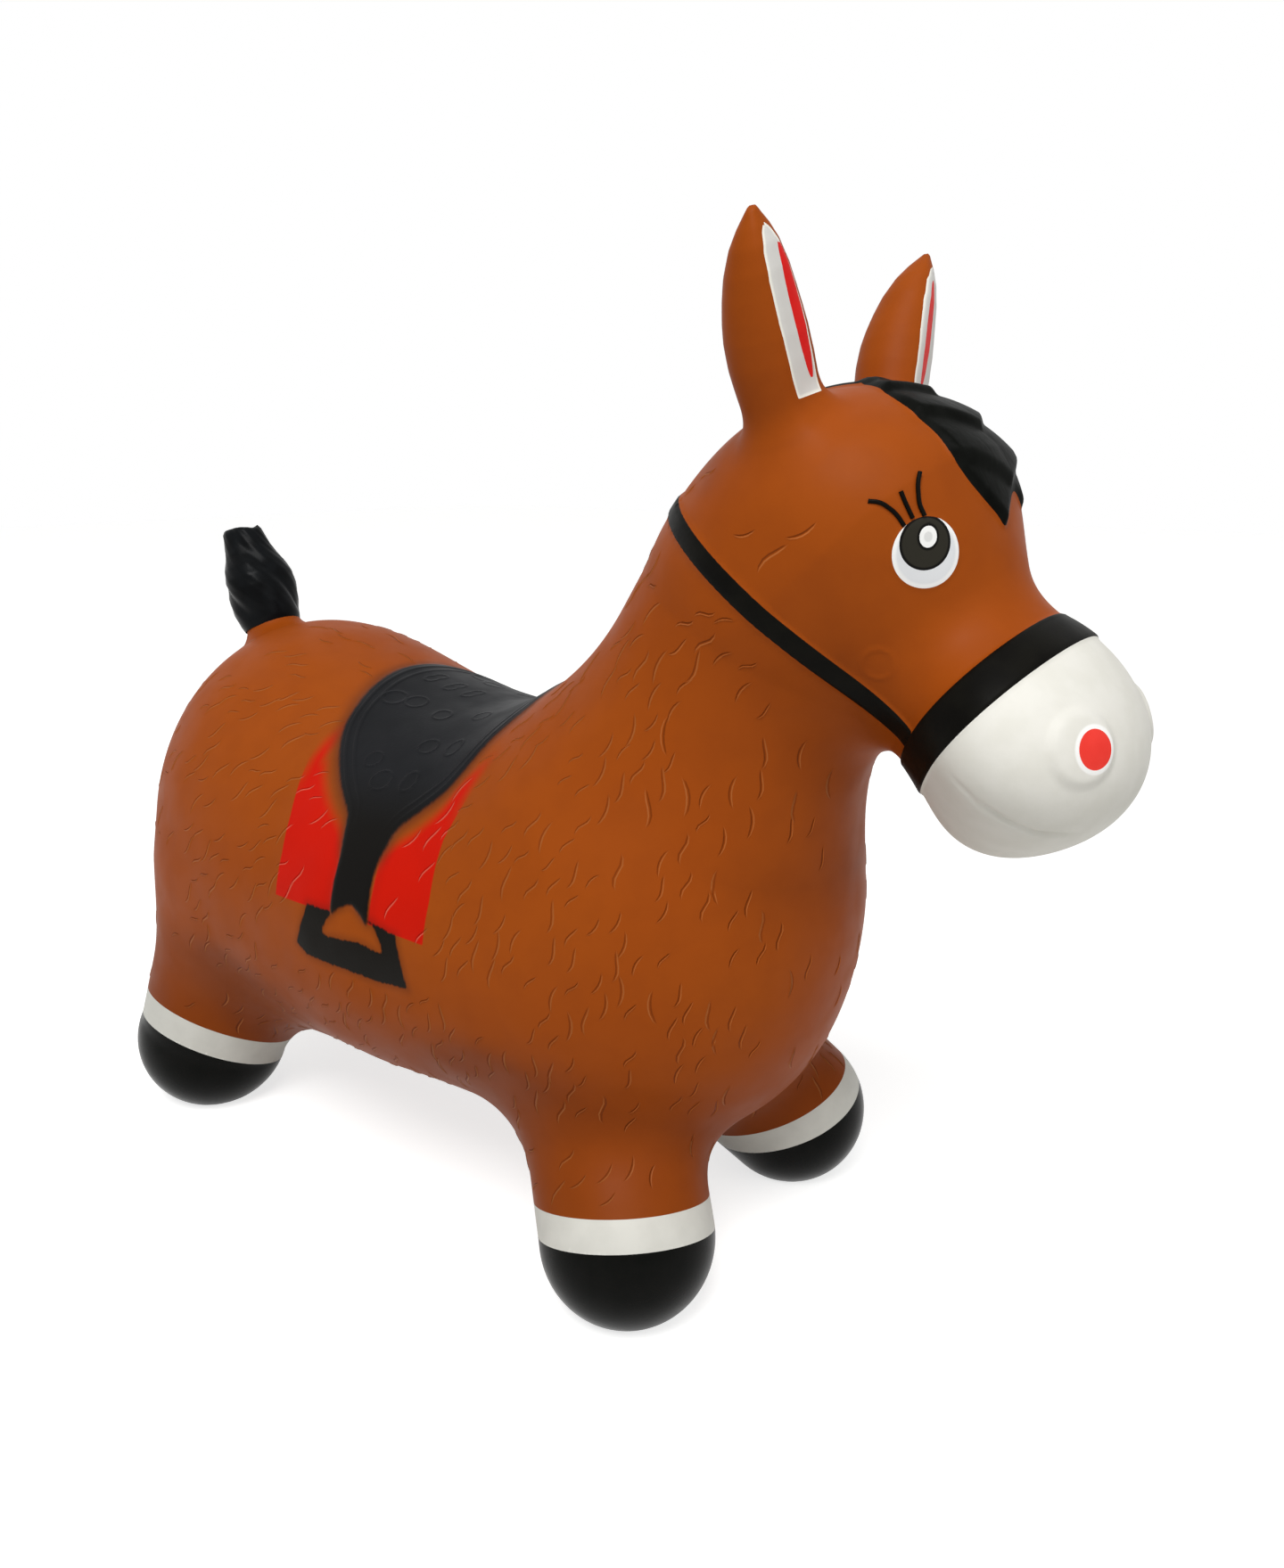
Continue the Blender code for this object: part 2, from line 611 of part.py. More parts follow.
def rough_volumes():
    # the plain volumes, joined for the remesh
    form = bmesh.new()

    def ball(centre, radii, pitch=0.0):
        turn = Matrix.Rotation(math.radians(-pitch), 4, "Y")
        place = Matrix.Translation(centre) @ turn @ Matrix.Diagonal((*radii, 1.0))
        bmesh.ops.create_icosphere(form, subdivisions=4, radius=1.0, matrix=place)

    def taper(start, end, start_radius, end_radius):
        for share in np.linspace(0.0, 1.0, 5):
            place = np.array(start) * (1.0 - share) + np.array(end) * share
            ball(tuple(place), (start_radius * (1.0 - share) + end_radius * share,) * 3)

    ball((RUMP_X, 0.0, RUMP_Z), (RUMP_HALF_LENGTH, RUMP_HALF_WIDTH, RUMP_HALF_HEIGHT))
    ball((BELLY_X, 0.0, BELLY_Z), (BELLY_HALF_LENGTH, BELLY_HALF_WIDTH, BELLY_HALF_HEIGHT))
    ball((CHEST_X, 0.0, CHEST_Z), (CHEST_HALF_LENGTH, CHEST_HALF_WIDTH, CHEST_HALF_HEIGHT))
    ball((BROW_X, 0.0, BROW_Z), (BROW_HALF_LENGTH, BROW_HALF_WIDTH, BROW_HALF_HEIGHT))
    ball((MUZZLE_X, 0.0, MUZZLE_Z), (MUZZLE_HALF_LENGTH, MUZZLE_HALF_WIDTH, MUZZLE_HALF_HEIGHT), MUZZLE_PITCH)
    ball((CHIN_X, 0.0, CHIN_Z), (CHIN_HALF_LENGTH, CHIN_HALF_WIDTH, CHIN_HALF_HEIGHT), CHIN_PITCH)
    taper((NECK_FOOT_X, 0.0, NECK_FOOT_Z), (NECK_TOP_X, 0.0, NECK_TOP_Z), NECK_FOOT_RADIUS, NECK_TOP_RADIUS)
    taper((BRIDGE_TOP_X, 0.0, BRIDGE_TOP_Z), (BRIDGE_END_X, 0.0, BRIDGE_END_Z), BRIDGE_TOP_RADIUS, BRIDGE_END_RADIUS)
    for end in ("front", "rear"):
        foot, hip, foot_radius, hip_radius = leg_sizes(end)
        for side in (1.0, MIRROR):
            taper(tuple(foot * side), tuple(hip * side), foot_radius, hip_radius)
    mesh = bpy.data.meshes.new("volumes")
    form.to_mesh(mesh)
    form.free()
    volumes = bpy.data.objects.new("volumes", mesh)
    bpy.context.scene.collection.objects.link(volumes)
    return volumes


def skin_form():
    # one even triangle mesh of the whole skin, the same on both sides
    volumes = rough_volumes()
    remesh = volumes.modifiers.new("even facets", "REMESH")
    remesh.mode = "VOXEL"
    remesh.voxel_size = SKIN_FACET
    bpy.context.view_layer.update()
    evaluated = volumes.evaluated_get(bpy.context.evaluated_depsgraph_get())
    even = mesh_object("even skin", (), ())
    even.data = bpy.data.meshes.new_from_object(evaluated)
    remove(volumes)
    form = form_of(even)
    relax(form, EVEN_COUNT)
    store(form, even)
    # wide facets where the skin is nearly flat, small ones where it turns tightly
    thin = even.modifiers.new("fewer facets", "DECIMATE")
    thin.ratio = SKIN_FACETS_KEPT_SHARE
    thin.use_collapse_triangulate = True
    bpy.context.view_layer.update()
    evaluated = even.evaluated_get(bpy.context.evaluated_depsgraph_get())
    mesh = bpy.data.meshes.new_from_object(evaluated)
    remove(even)
    form = bmesh.new()
    form.from_mesh(mesh)
    everything = form.verts[:] + form.edges[:] + form.faces[:]
    bmesh.ops.symmetrize(form, input=everything, direction="Y", dist=MERGE_DISTANCE)
    bmesh.ops.triangulate(form, faces=form.faces, quad_method="SHORT_EDGE")
    relax(form, THIN_EVEN_COUNT)
    return form


def relax(form, rounds):
    # slide the points along the skin until the facets are even
    places = settle(np.array([vert.co for vert in form.verts]))
    for _ in range(rounds):
        for vert, place in zip(form.verts, places):
            vert.co = place
        bmesh.ops.smooth_vert(
            form, verts=form.verts, factor=SLIDE_SHARE, use_axis_x=True, use_axis_y=True, use_axis_z=True)
        outward = skin_outward(places)
        slide = np.array([vert.co for vert in form.verts]) - places
        slide = slide - outward * (slide * outward).sum(axis=1, keepdims=True)
        places = settle(places + slide, SLIDE_SETTLE_COUNT)
    places[np.abs(places[:, 1]) < MERGE_DISTANCE, 1] = 0.0
    for vert, place in zip(form.verts, places):
        vert.co = place


class Skin:
    # the skin's facets, kept for the pads that follow it

    def __init__(self):
        form = skin_form()
        form.verts.index_update()
        self.points = np.array([vert.co for vert in form.verts])
        self.faces = np.array([[vert.index for vert in face.verts] for face in form.faces])
        form.free()
        self.outward = skin_outward(self.points)
        self.centres = self.points[self.faces].mean(axis=1)

    def solid(self, name, finish):
        piece = mesh_object(name, self.points, self.faces, finish)
        form = form_of(piece)
        bmesh.ops.recalc_face_normals(form, faces=form.faces)
        store(form, piece)
        cut_flat(piece, (0.0, 0.0, SOLE_Z), (0.0, 0.0, -1.0))
        return piece

    def pad_blank(self, name, finish, chosen, low, high):
        # a slab of the chosen facets between two heights above the skin
        faces = self.faces[chosen]
        used = np.unique(faces)
        place = {old: new for new, old in enumerate(used)}
        count = len(used)
        points = np.concatenate((
            self.points[used] + self.outward[used] * low, self.points[used] + self.outward[used] * high))
        top = [[place[v] + count for v in face] for face in faces]
        bottom = [[place[v] for v in reversed(face)] for face in faces]
        edges = {}
        for face in faces:
            for index in range(3):
                start, end = place[face[index]], place[face[(index + 1) % 3]]
                edges[(start, end)] = True
        walls = [(end, start, start + count, end + count) for start, end in edges if (end, start) not in edges]
        walls = [tuple(reversed(wall)) for wall in walls]
        piece = mesh_object(name, points, top + bottom + walls, finish)
        form = form_of(piece)
        bmesh.ops.triangulate(form, faces=[face for face in form.faces if len(face.verts) > 3])
        bmesh.ops.recalc_face_normals(form, faces=form.faces)
        store(form, piece)
        return piece

    def near(self, low, high):
        # facets inside a box, with room for the cutter to trim
        low = np.array(low) - PAD_MARGIN
        high = np.array(high) + PAD_MARGIN
        return np.all((self.centres > low) & (self.centres < high), axis=1)

    def at(self, x, z, y):
        # the point of the skin seen from the left side at (x, z), and its outward direction
        point = np.array(((x, y, z),))
        for _ in range(PROBE_COUNT):
            height = skin_height(point)
            lean = skin_outward(point)
            point[:, 1] -= height / np.maximum(lean[:, 1], LEAST_SLOPE_SHARE)
        return point[0], skin_outward(point)[0]


def band_axis(tilt):
    # the left leg's band is square to this direction
    axis = np.array((tilt[0], -tilt[1], tilt[2]))
    return axis / np.linalg.norm(axis)


def divide_skin(skin, brown, white, black):
    # trunk, neck, head, muzzle and the four legs with their bands and hooves
    whole = skin.solid("trunk_skin", brown)
    legs = {}
    cutters = []
    for end, band_high, tilt in (
            ("front", FRONT_BAND_HIGH, FRONT_BAND_TILT_SHARES), ("rear", REAR_BAND_HIGH, REAR_BAND_TILT_SHARES)):
        foot, hip, radius, hip_radius = leg_sizes(end)
        axis = band_axis(tilt)
        reach_end = band_high + FOOT_TRAVEL + FOOT_TRAVEL_CLEARANCE
        clear = radius * LEG_CUTTER_SHARE
        legs[end] = copy_piece(whole, "leg_" + end + "_left")
        cutter = rod("leg cutter", foot, axis, clear, -clear - OVERRUN, reach_end - SEAM_GAP / 2.0)
        carve(legs[end], cutter, "INTERSECT")
        remove(cutter)
        for side in (1.0, MIRROR):
            cutters.append(rod(
                "leg cutter", foot * side, axis * side, clear + SEAM_GAP, -clear - OVERRUN,
                reach_end + SEAM_GAP / 2.0))
    for cutter in cutters:
        carve(whole, cutter, "DIFFERENCE")
        remove(cutter)

    neck_run = np.array((NECK_TOP_X - NECK_FOOT_X, 0.0, NECK_TOP_Z - NECK_FOOT_Z))
    neck_run = neck_run / np.linalg.norm(neck_run)
    neck_seam = np.array((NECK_FOOT_X, 0.0, NECK_FOOT_Z)) + neck_run * NECK_SEAM_ALONG
    head_lean = math.radians(HEAD_SEAM_LEAN)
    head_run = np.array((math.cos(head_lean), 0.0, math.sin(head_lean)))
    head_seam = np.array((HEAD_SEAM_X, 0.0, HEAD_SEAM_Z))
    nose_lean = math.radians(NOSEBAND_LEAN)
    nose_run = np.array((math.cos(nose_lean), 0.0, math.sin(nose_lean)))
    bridge_end = np.array((BRIDGE_END_X, 0.0, BRIDGE_END_Z))
    nose_seam = bridge_end + nose_run * (NOSEBAND_BACK + NOSEBAND_FRONT) / 2.0

    neck = copy_piece(whole, "neck_skin", brown)
    cut_flat(whole, neck_seam - neck_run * SEAM_GAP / 2.0, neck_run)
    cut_flat(neck, neck_seam + neck_run * SEAM_GAP / 2.0, -neck_run)
    head = copy_piece(neck, "head_skin", brown)
    cut_flat(neck, head_seam - head_run * SEAM_GAP / 2.0, head_run)
    cut_flat(head, head_seam + head_run * SEAM_GAP / 2.0, -head_run)
    muzzle = copy_piece(head, "muzzle_skin", white)
    cut_flat(head, nose_seam - nose_run * SEAM_GAP / 2.0, nose_run)
    cut_flat(muzzle, nose_seam + nose_run * SEAM_GAP / 2.0, -nose_run)

    for end, low, high, tilt in (
            ("front", FRONT_BAND_LOW, FRONT_BAND_HIGH, FRONT_BAND_TILT_SHARES),
            ("rear", REAR_BAND_LOW, REAR_BAND_HIGH, REAR_BAND_TILT_SHARES)):
        foot = leg_sizes(end)[0]
        axis = band_axis(tilt)
        band = copy_piece(legs[end], "ankle_band_" + end + "_left", white)
        hoof = copy_piece(legs[end], "hoof_" + end + "_left", black)
        cut_flat(legs[end], foot + axis * (high + SEAM_GAP / 2.0), -axis)
        cut_flat(band, foot + axis * (high - SEAM_GAP / 2.0), axis)
        cut_flat(band, foot + axis * (low + SEAM_GAP / 2.0), -axis)
        cut_flat(hoof, foot + axis * (low - SEAM_GAP / 2.0), axis)
        for piece in (legs[end], band, hoof):
            mirrored(piece, piece.name.replace("_left", "_right"))
    return whole, head


def scaled_outline(shares, x, length, low_z, high_z):
    return [(x + row[0] * length, low_z + row[1] * (high_z - low_z)) for row in shares]


def saddle_outline():
    return scaled_outline(SADDLE_OUTLINE_SHARES, SADDLE_X, SADDLE_LENGTH, LEATHER_LOW_Z, SADDLE_TOP_Z)


def make_saddle(skin, leather, cloth_red):
    outline = smooth_outline(saddle_outline(), 2)
    half = SADDLE_LENGTH / 2.0
    reach = BELLY_HALF_WIDTH
    chosen = skin.near((SADDLE_X - half, -reach, LEATHER_LOW_Z), (SADDLE_X + half, reach, SADDLE_TOP_Z))
    saddle = skin.pad_blank("saddle", leather, chosen, PAD_SEAT, PAD_SEAT + SADDLE_THICKNESS)
    cutter = side_prism("saddle cutter", outline)
    carve(saddle, cutter, "INTERSECT")
    remove(cutter)

    cloth = scaled_outline(CLOTH_OUTLINE_SHARES, CLOTH_X, CLOTH_LENGTH, CLOTH_LOW_Z, CLOTH_TOP_Z)
    half = CLOTH_LENGTH / 2.0
    chosen = skin.near((CLOTH_X - half, 0.0, CLOTH_LOW_Z), (CLOTH_X + half, reach, CLOTH_TOP_Z))
    leather_middle = SADDLE_X + LEATHER_MIDDLE_SHARE * SADDLE_LENGTH
    notch = side_prism("saddle notch", grown(outline, CLOTH_EDGE_GAP))
    trim = side_prism("cloth cutter", smooth_outline(cloth, 2), 1)
    for name, facing in (("rear", 1.0), ("front", -1.0)):
        panel = skin.pad_blank(
            "saddle_cloth_" + name + "_left", cloth_red, chosen, PAD_SEAT, PAD_SEAT + CLOTH_THICKNESS)
        carve(panel, trim, "INTERSECT")
        carve(panel, notch, "DIFFERENCE")
        cut_flat(panel, (leather_middle, 0.0, 0.0), (facing, 0.0, 0.0))
        cut_flat(panel, (0.0, 0.0, CLOTH_LOW_Z), (0.0, 0.0, -1.0))
        mirrored(panel, "saddle_cloth_" + name + "_right")
    remove(notch)
    remove(trim)


def make_stirrup(skin, leather):
    outline = scaled_outline(STIRRUP_OUTLINE_SHARES, STIRRUP_X, STIRRUP_LENGTH, STIRRUP_LOW_Z, STIRRUP_TOP_Z)
    half = STIRRUP_LENGTH / 2.0
    chosen = skin.near((STIRRUP_X - half, 0.0, STIRRUP_LOW_Z), (STIRRUP_X + half, BELLY_HALF_WIDTH, STIRRUP_TOP_Z))
    stirrup = skin.pad_blank("stirrup_left", leather, chosen, PAD_SEAT, PAD_SEAT + STIRRUP_THICKNESS)
    outer = side_prism("stirrup cutter", outline, 1)
    hole = scaled_outline(STIRRUP_HOLE_SHARES, STIRRUP_X, STIRRUP_LENGTH, STIRRUP_LOW_Z, STIRRUP_TOP_Z)
    inner = side_prism("stirrup hole", hole, 1)
    carve(stirrup, outer, "INTERSECT")
    carve(stirrup, inner, "DIFFERENCE")
    remove(outer)
    remove(inner)
    # it hangs just below the cloth's edge
    cut_flat(stirrup, (0.0, 0.0, CLOTH_LOW_Z - CLOTH_EDGE_GAP), (0.0, 0.0, 1.0))
    mirrored(stirrup, "stirrup_right")


def make_bridle(skin, leather):
    low = (HEAD_SEAM_X, -BROW_HALF_WIDTH, CHIN_Z - CHIN_HALF_HEIGHT)
    high = (MUZZLE_X + MUZZLE_HALF_LENGTH, BROW_HALF_WIDTH, BROW_Z)
    noseband = skin.pad_blank("noseband", leather, skin.near(low, high), PAD_SEAT, PAD_SEAT + BRIDLE_THICKNESS)
    band = slab_cutter("noseband cutter", NOSEBAND_LEAN, NOSEBAND_BACK, NOSEBAND_FRONT)
    carve(noseband, band, "INTERSECT")
    remove(band)
    # the leaning plates also cross the chest, so only the head's part stays
    head_lean = math.radians(HEAD_SEAM_LEAN)
    cut_flat(noseband, (HEAD_SEAM_X, 0.0, HEAD_SEAM_Z), (-math.cos(head_lean), 0.0, -math.sin(head_lean)))

    low = (NECK_FOOT_X - NECK_FOOT_RADIUS, -NECK_FOOT_RADIUS, NECK_TOP_Z - 2.0 * NECK_TOP_RADIUS)
    high = (BRIDGE_END_X + BRIDGE_END_RADIUS, NECK_FOOT_RADIUS, BROW_Z + BROW_HALF_HEIGHT)
    strap = skin.pad_blank("cheek_strap", leather, skin.near(low, high), PAD_SEAT, PAD_SEAT + BRIDLE_THICKNESS)
    plate = slab_cutter("strap cutter", STRAP_LEAN, STRAP_LOW, STRAP_HIGH)
    carve(strap, plate, "INTERSECT")
    remove(plate)
    nose_lean = math.radians(NOSEBAND_LEAN)
    nose_run = Vector((math.cos(nose_lean), 0.0, math.sin(nose_lean)))
    bridge_end = Vector((BRIDGE_END_X, 0.0, BRIDGE_END_Z))
    cut_flat(strap, bridge_end + nose_run * (NOSEBAND_BACK - SEAM_GAP), nose_run)


def make_forelock(skin, hair):
    facing = math.radians(FORELOCK_FACING)
    down = Vector((math.cos(facing), 0.0, -math.sin(facing)))
    out = Vector((math.sin(facing), 0.0, math.cos(facing)))
    length = FORELOCK_FRONT - FORELOCK_BACK
    start = along_lean(BROW_X, BROW_Z, -FORELOCK_FACING) + FORELOCK_BACK
    outline = [(start + row[0] * length, -row[1] * FORELOCK_HALF_WIDTH) for row in FORELOCK_OUTLINE_SHARES]
    cutter = prism(
        "forelock cutter", smooth_outline(outline, 2),
        lambda point, lift: down * point[0] + out * lift + Vector((0.0, point[1], 0.0)),
        NECK_TOP_Z, BROW_Z + BROW_X + OVERRUN)
    low = (BROW_X - BROW_HALF_LENGTH, -BROW_HALF_WIDTH, BROW_Z - BROW_HALF_HEIGHT)
    high = (BROW_X + 2.0 * BROW_HALF_LENGTH, BROW_HALF_WIDTH, BROW_Z + 2.0 * BROW_HALF_HEIGHT)
    forelock = skin.pad_blank("forelock", hair, skin.near(low, high), PAD_SEAT, PAD_SEAT + FORELOCK_THICKNESS)
    carve(forelock, cutter, "INTERSECT")
    remove(cutter)
    cut_flat(forelock, down * start, -down)

    far = start - FORELOCK_BACK + MANE_BACK
    start = start - SEAM_GAP
    outline = [
        (far, -MANE_HALF_WIDTH), (start, -MANE_HALF_WIDTH), (start, MANE_HALF_WIDTH), (far, MANE_HALF_WIDTH)]
    low = (NECK_TOP_X - 2.0 * NECK_TOP_RADIUS, -MANE_HALF_WIDTH, NECK_TOP_Z)
    high = (BROW_X, MANE_HALF_WIDTH, BROW_Z + 2.0 * BROW_HALF_HEIGHT)
    mane = skin.pad_blank("mane", hair, skin.near(low, high), PAD_SEAT, PAD_SEAT + MANE_THICKNESS)
    cutter = prism(
        "mane cutter", outline, lambda point, lift: down * point[0] + out * lift + Vector((0.0, point[1], 0.0)),
        NECK_TOP_Z, BROW_Z + BROW_X + OVERRUN)
    carve(mane, cutter, "INTERSECT")
    remove(cutter)
    strap_lean = math.radians(STRAP_LEAN)
    strap_run = Vector((math.cos(strap_lean), 0.0, math.sin(strap_lean)))
    bridge_end = Vector((BRIDGE_END_X, 0.0, BRIDGE_END_Z))
    cut_flat(mane, bridge_end + strap_run * (STRAP_HIGH + SEAM_GAP), -strap_run)


def disc(skin, name, finish, x, z, y, radius, low, high):
    # a round pad whose rim is square to the skin at its centre
    point, outward = skin.at(x, z, y)
    reach = np.array((radius, radius, radius))
    pad = skin.pad_blank(name, finish, skin.near(point - reach, point + reach), low, high)
    cutter = rod(name + " cutter", point, outward, radius, -radius, radius + high)
    carve(pad, cutter, "INTERSECT")
    remove(cutter)
    mirrored(pad, name.replace("_left", "_right"))


def make_face(skin, finishes):
    level = PAD_SEAT
    for name, finish, x, z, radius in (
            ("eye_white_left", finishes["white"], EYE_X, EYE_Z, EYE_RADIUS),
            ("pupil_left", finishes["black"], PUPIL_X, PUPIL_Z, PUPIL_RADIUS),
            ("eye_spark_left", finishes["white"], SPARK_X, SPARK_Z, SPARK_RADIUS)):
        disc(skin, name, finish, x, z, BROW_HALF_WIDTH, radius, level, level + EYE_THICKNESS)
        level = level + EYE_THICKNESS + SEAM_GAP
    top = PAD_SEAT + NOSTRIL_HEIGHT
    disc(
        skin, "nostril_left", finishes["white"], NOSTRIL_X, NOSTRIL_Z, NOSTRIL_Y, NOSTRIL_RADIUS, PAD_SEAT, top)
    disc(
        skin, "nostril_dot_left", finishes["red"], NOSTRIL_X, NOSTRIL_Z, NOSTRIL_Y, NOSTRIL_DOT_RADIUS,
        top + SEAM_GAP, top + SEAM_GAP + NOSTRIL_DOT_HEIGHT)


def ear_frame():
    # root, run to the tip, the way the hollow faces, and the way across it
    root = Vector((EAR_ROOT_X, EAR_ROOT_Y, EAR_ROOT_Z))
    run = Vector((EAR_TIP_X, EAR_TIP_Y, EAR_TIP_Z)) - root
    turn = math.radians(EAR_TURN)
    facing = Vector((math.cos(turn), math.sin(turn), 0.0))
    across = run.cross(facing).normalized()
    facing = across.cross(run).normalized()
    return root, run, facing, across


def ear_rings():
    root, run, facing, across = ear_frame()
    rings = []
    for index in range(EAR_RINGS):
        share = index / (EAR_RINGS - 1)
        width = EAR_HALF_WIDTH * share_at(EAR_WIDTH_SHARES, share)
        depth = EAR_HALF_DEPTH * share_at(EAR_WIDTH_SHARES, share)
        bow = -facing * EAR_BOW * 4.0 * share * (1.0 - share)
        centre = root + run * share + bow
        rings.append([centre + facing * depth * row[0] + across * width * row[1] for row in EAR_SECTION_SHARES])
    return rings


def lining(name, finish, rings, start, end, columns, low, high):
    # a thin leaf on the hollow face of the ear
    facing = ear_frame()[2]
    rows = [ring for index, ring in enumerate(rings) if start <= index / (EAR_RINGS - 1) <= end]
    count = len(columns)
    points = [row[c] + facing * low for row in rows for c in columns]
    points += [row[c] + facing * high for row in rows for c in columns]
    layer = len(rows) * count
    faces = []
    for row in range(len(rows) - 1):
        for column in range(count - 1):
            corner = row * count + column
            cell = (corner, corner + 1, corner + count + 1, corner + count)
            faces.append(cell)
            faces.append(tuple(index + layer for index in reversed(cell)))
    ring = list(range(count)) + [row * count + count - 1 for row in range(1, len(rows))]
    ring += [layer - 1 - index for index in range(1, count)]
    ring += [row * count for row in range(len(rows) - 2, 0, -1)]
    for index, here in enumerate(ring):
        following = ring[(index + 1) % len(ring)]
        faces.append((here, here + layer, following + layer, following))
    piece = mesh_object(name, points, faces, finish)
    form = form_of(piece)
    bmesh.ops.triangulate(form, faces=form.faces)
    bmesh.ops.recalc_face_normals(form, faces=form.faces)
    store(form, piece)
    mirrored(piece, name.replace("_left", "_right"))


def skin_cutter(piece, gap):
    # the piece grown by a gap, so that what sits on it can be trimmed to it
    cutter = guide(copy_piece(piece, piece.name + " clearance"))
    points = np.array([vert.co for vert in cutter.data.vertices])
    points = points + skin_outward(points) * gap
    cutter.data.vertices.foreach_set("co", points.ravel())
    cutter.data.update()
    return cutter


def make_ears(head, brown, white, red):
    rings = ear_rings()
    root, run, facing, across = ear_frame()
    ear = loft("ear_left", rings, brown)
    stem = copy_piece(ear, "ear_root_left")
    seam = root + run * EAR_SPLIT_SHARE
    direction = run.normalized()
    cut_flat(ear, seam + direction * SEAM_GAP / 2.0, -direction)
    cut_flat(stem, seam - direction * SEAM_GAP / 2.0, direction)
    cutter = skin_cutter(head, SEAM_GAP)
    carve(stem, cutter, "DIFFERENCE")
    remove(cutter)
    keep_highest(stem)
    mirrored(ear, "ear_right")
    mirrored(stem, "ear_root_right")
    low = PAD_SEAT
    high = low + LINING_THICKNESS
    lining("ear_lining_left", white, rings, LINING_START_SHARE, LINING_END_SHARE, (13, 14, 0, 1, 2), low, high)
    lining(
        "ear_inner_left", red, rings, INNER_START_SHARE, INNER_END_SHARE, (14, 0, 1),
        high + SEAM_GAP, high + SEAM_GAP + LINING_INNER_THICKNESS)


def keep_highest(piece):
    # drop what a trim leaves inside the skin below
    form = form_of(piece)
    seen = set()
    groups = []
    for vert in form.verts:
        if vert in seen:
            continue
        group = [vert]
        seen.add(vert)
        for member in group:
            for edge in member.link_edges:
                other = edge.other_vert(member)
                if other not in seen:
                    seen.add(other)
                    group.append(other)
        groups.append(group)
    groups.sort(key=lambda group: max(vert.co.z for vert in group))
    for group in groups[:-1]:
        bmesh.ops.delete(form, geom=group, context="VERTS")
    store(form, piece)


def make_tail(trunk, brown, hair):
    top = upright_level(TAIL_ROOT_X, RUMP_Z + RUMP_HALF_HEIGHT, 1.0)
    root = Vector((TAIL_ROOT_X, 0.0, top - TAIL_ROOT_SINK))
    run = Vector((-TAIL_LEAN_BACK, 0.0, TAIL_RISE))
    direction = run.normalized()
    side = Vector((0.0, 1.0, 0.0))
    front = side.cross(direction)
    rings = []
    for index in range(TAIL_RINGS + 1):
        share = index / TAIL_RINGS
        radius = TAIL_ROOT_RADIUS * share_at(TAIL_RADIUS_SHARES, share)
        lobe = TAIL_LOBE_HEIGHT_SHARE * max(share - TAIL_SPLIT_SHARE, 0.0) / (1.0 - TAIL_SPLIT_SHARE)
        ring = []
        for step in range(TAIL_SIDES):
            angle = 2.0 * math.pi * step / TAIL_SIDES
            twist = math.radians(TAIL_TWIST) * share
            bulge = radius * (1.0 + 2.0 * lobe * math.cos(TAIL_LOBES * (angle - twist)))
            ring.append(root + run * share + front * bulge * math.cos(angle) + side * bulge * math.sin(angle))
        rings.append(ring)
    tuft = loft("tail_tuft", rings, hair)
    stem = copy_piece(tuft, "tail_root", brown)
    seam = root + run * TAIL_SPLIT_SHARE
    cut_flat(tuft, seam + direction * SEAM_GAP / 2.0, -direction)
    cut_flat(stem, seam - direction * SEAM_GAP / 2.0, direction)
    cutter = skin_cutter(trunk, SEAM_GAP)
    carve(stem, cutter, "DIFFERENCE")
    remove(cutter)
    keep_highest(stem)


def make_valve(trunk, vinyl):
    # the plug pushes up into a bored seat moulded into the underside
    under = (VALVE_X, 0.0, upright_level(VALVE_X, BELLY_Z - BELLY_HALF_HEIGHT, -1.0))
    upwards = (0.0, 0.0, 1.0)
    pocket = rod(
        "valve pocket", under, upwards, VALVE_SEAT_RADIUS + SEAM_GAP, -OVERRUN, VALVE_SEAT_HEIGHT + SEAM_GAP)
    carve(trunk, pocket, "DIFFERENCE")
    remove(pocket)
    bore = VALVE_BORE_RADIUS
    seat = turned("valve_seat", ((VALVE_SEAT_RADIUS, 0.0), (VALVE_SEAT_RADIUS, VALVE_SEAT_HEIGHT)), under, vinyl)
    drill = rod("valve bore", under, upwards, bore, -OVERRUN, OVERRUN)
    carve(seat, drill, "DIFFERENCE")
    remove(drill)
    stem = bore - VALVE_RUNNING_GAP
    cap_top = -SEAM_GAP
    cap_low = cap_top - PLUG_CAP_HEIGHT
    cap_middle = cap_low + PLUG_CAP_HEIGHT / 2.0
    plug = turned("valve_plug", (
        (PLUG_CAP_RADIUS * CAP_EDGE_SHARE, cap_low), (PLUG_CAP_RADIUS, cap_middle), (PLUG_CAP_RADIUS, cap_top),
        (stem, cap_top), (stem, PLUG_STEM_HEIGHT * STEM_STRAIGHT_SHARE), (PLUG_TIP_RADIUS, PLUG_STEM_HEIGHT)),
        under, vinyl)
    grip_half = PLUG_CAP_RADIUS * GRIP_SHARE
    grip_low = cap_low - PLUG_GRIP_HEIGHT
    grip = prism(
        "plug grip", (
            (-grip_half, cap_middle), (-grip_half * GRIP_SHARE, grip_low),
            (grip_half * GRIP_SHARE, grip_low), (grip_half, cap_middle)),
        lambda point, y: (under[0] + point[0], y, under[2] + point[1]), -PLUG_GRIP_WIDTH / 2.0, PLUG_GRIP_WIDTH / 2.0)
    carve(plug, grip, "UNION")
    remove(grip)


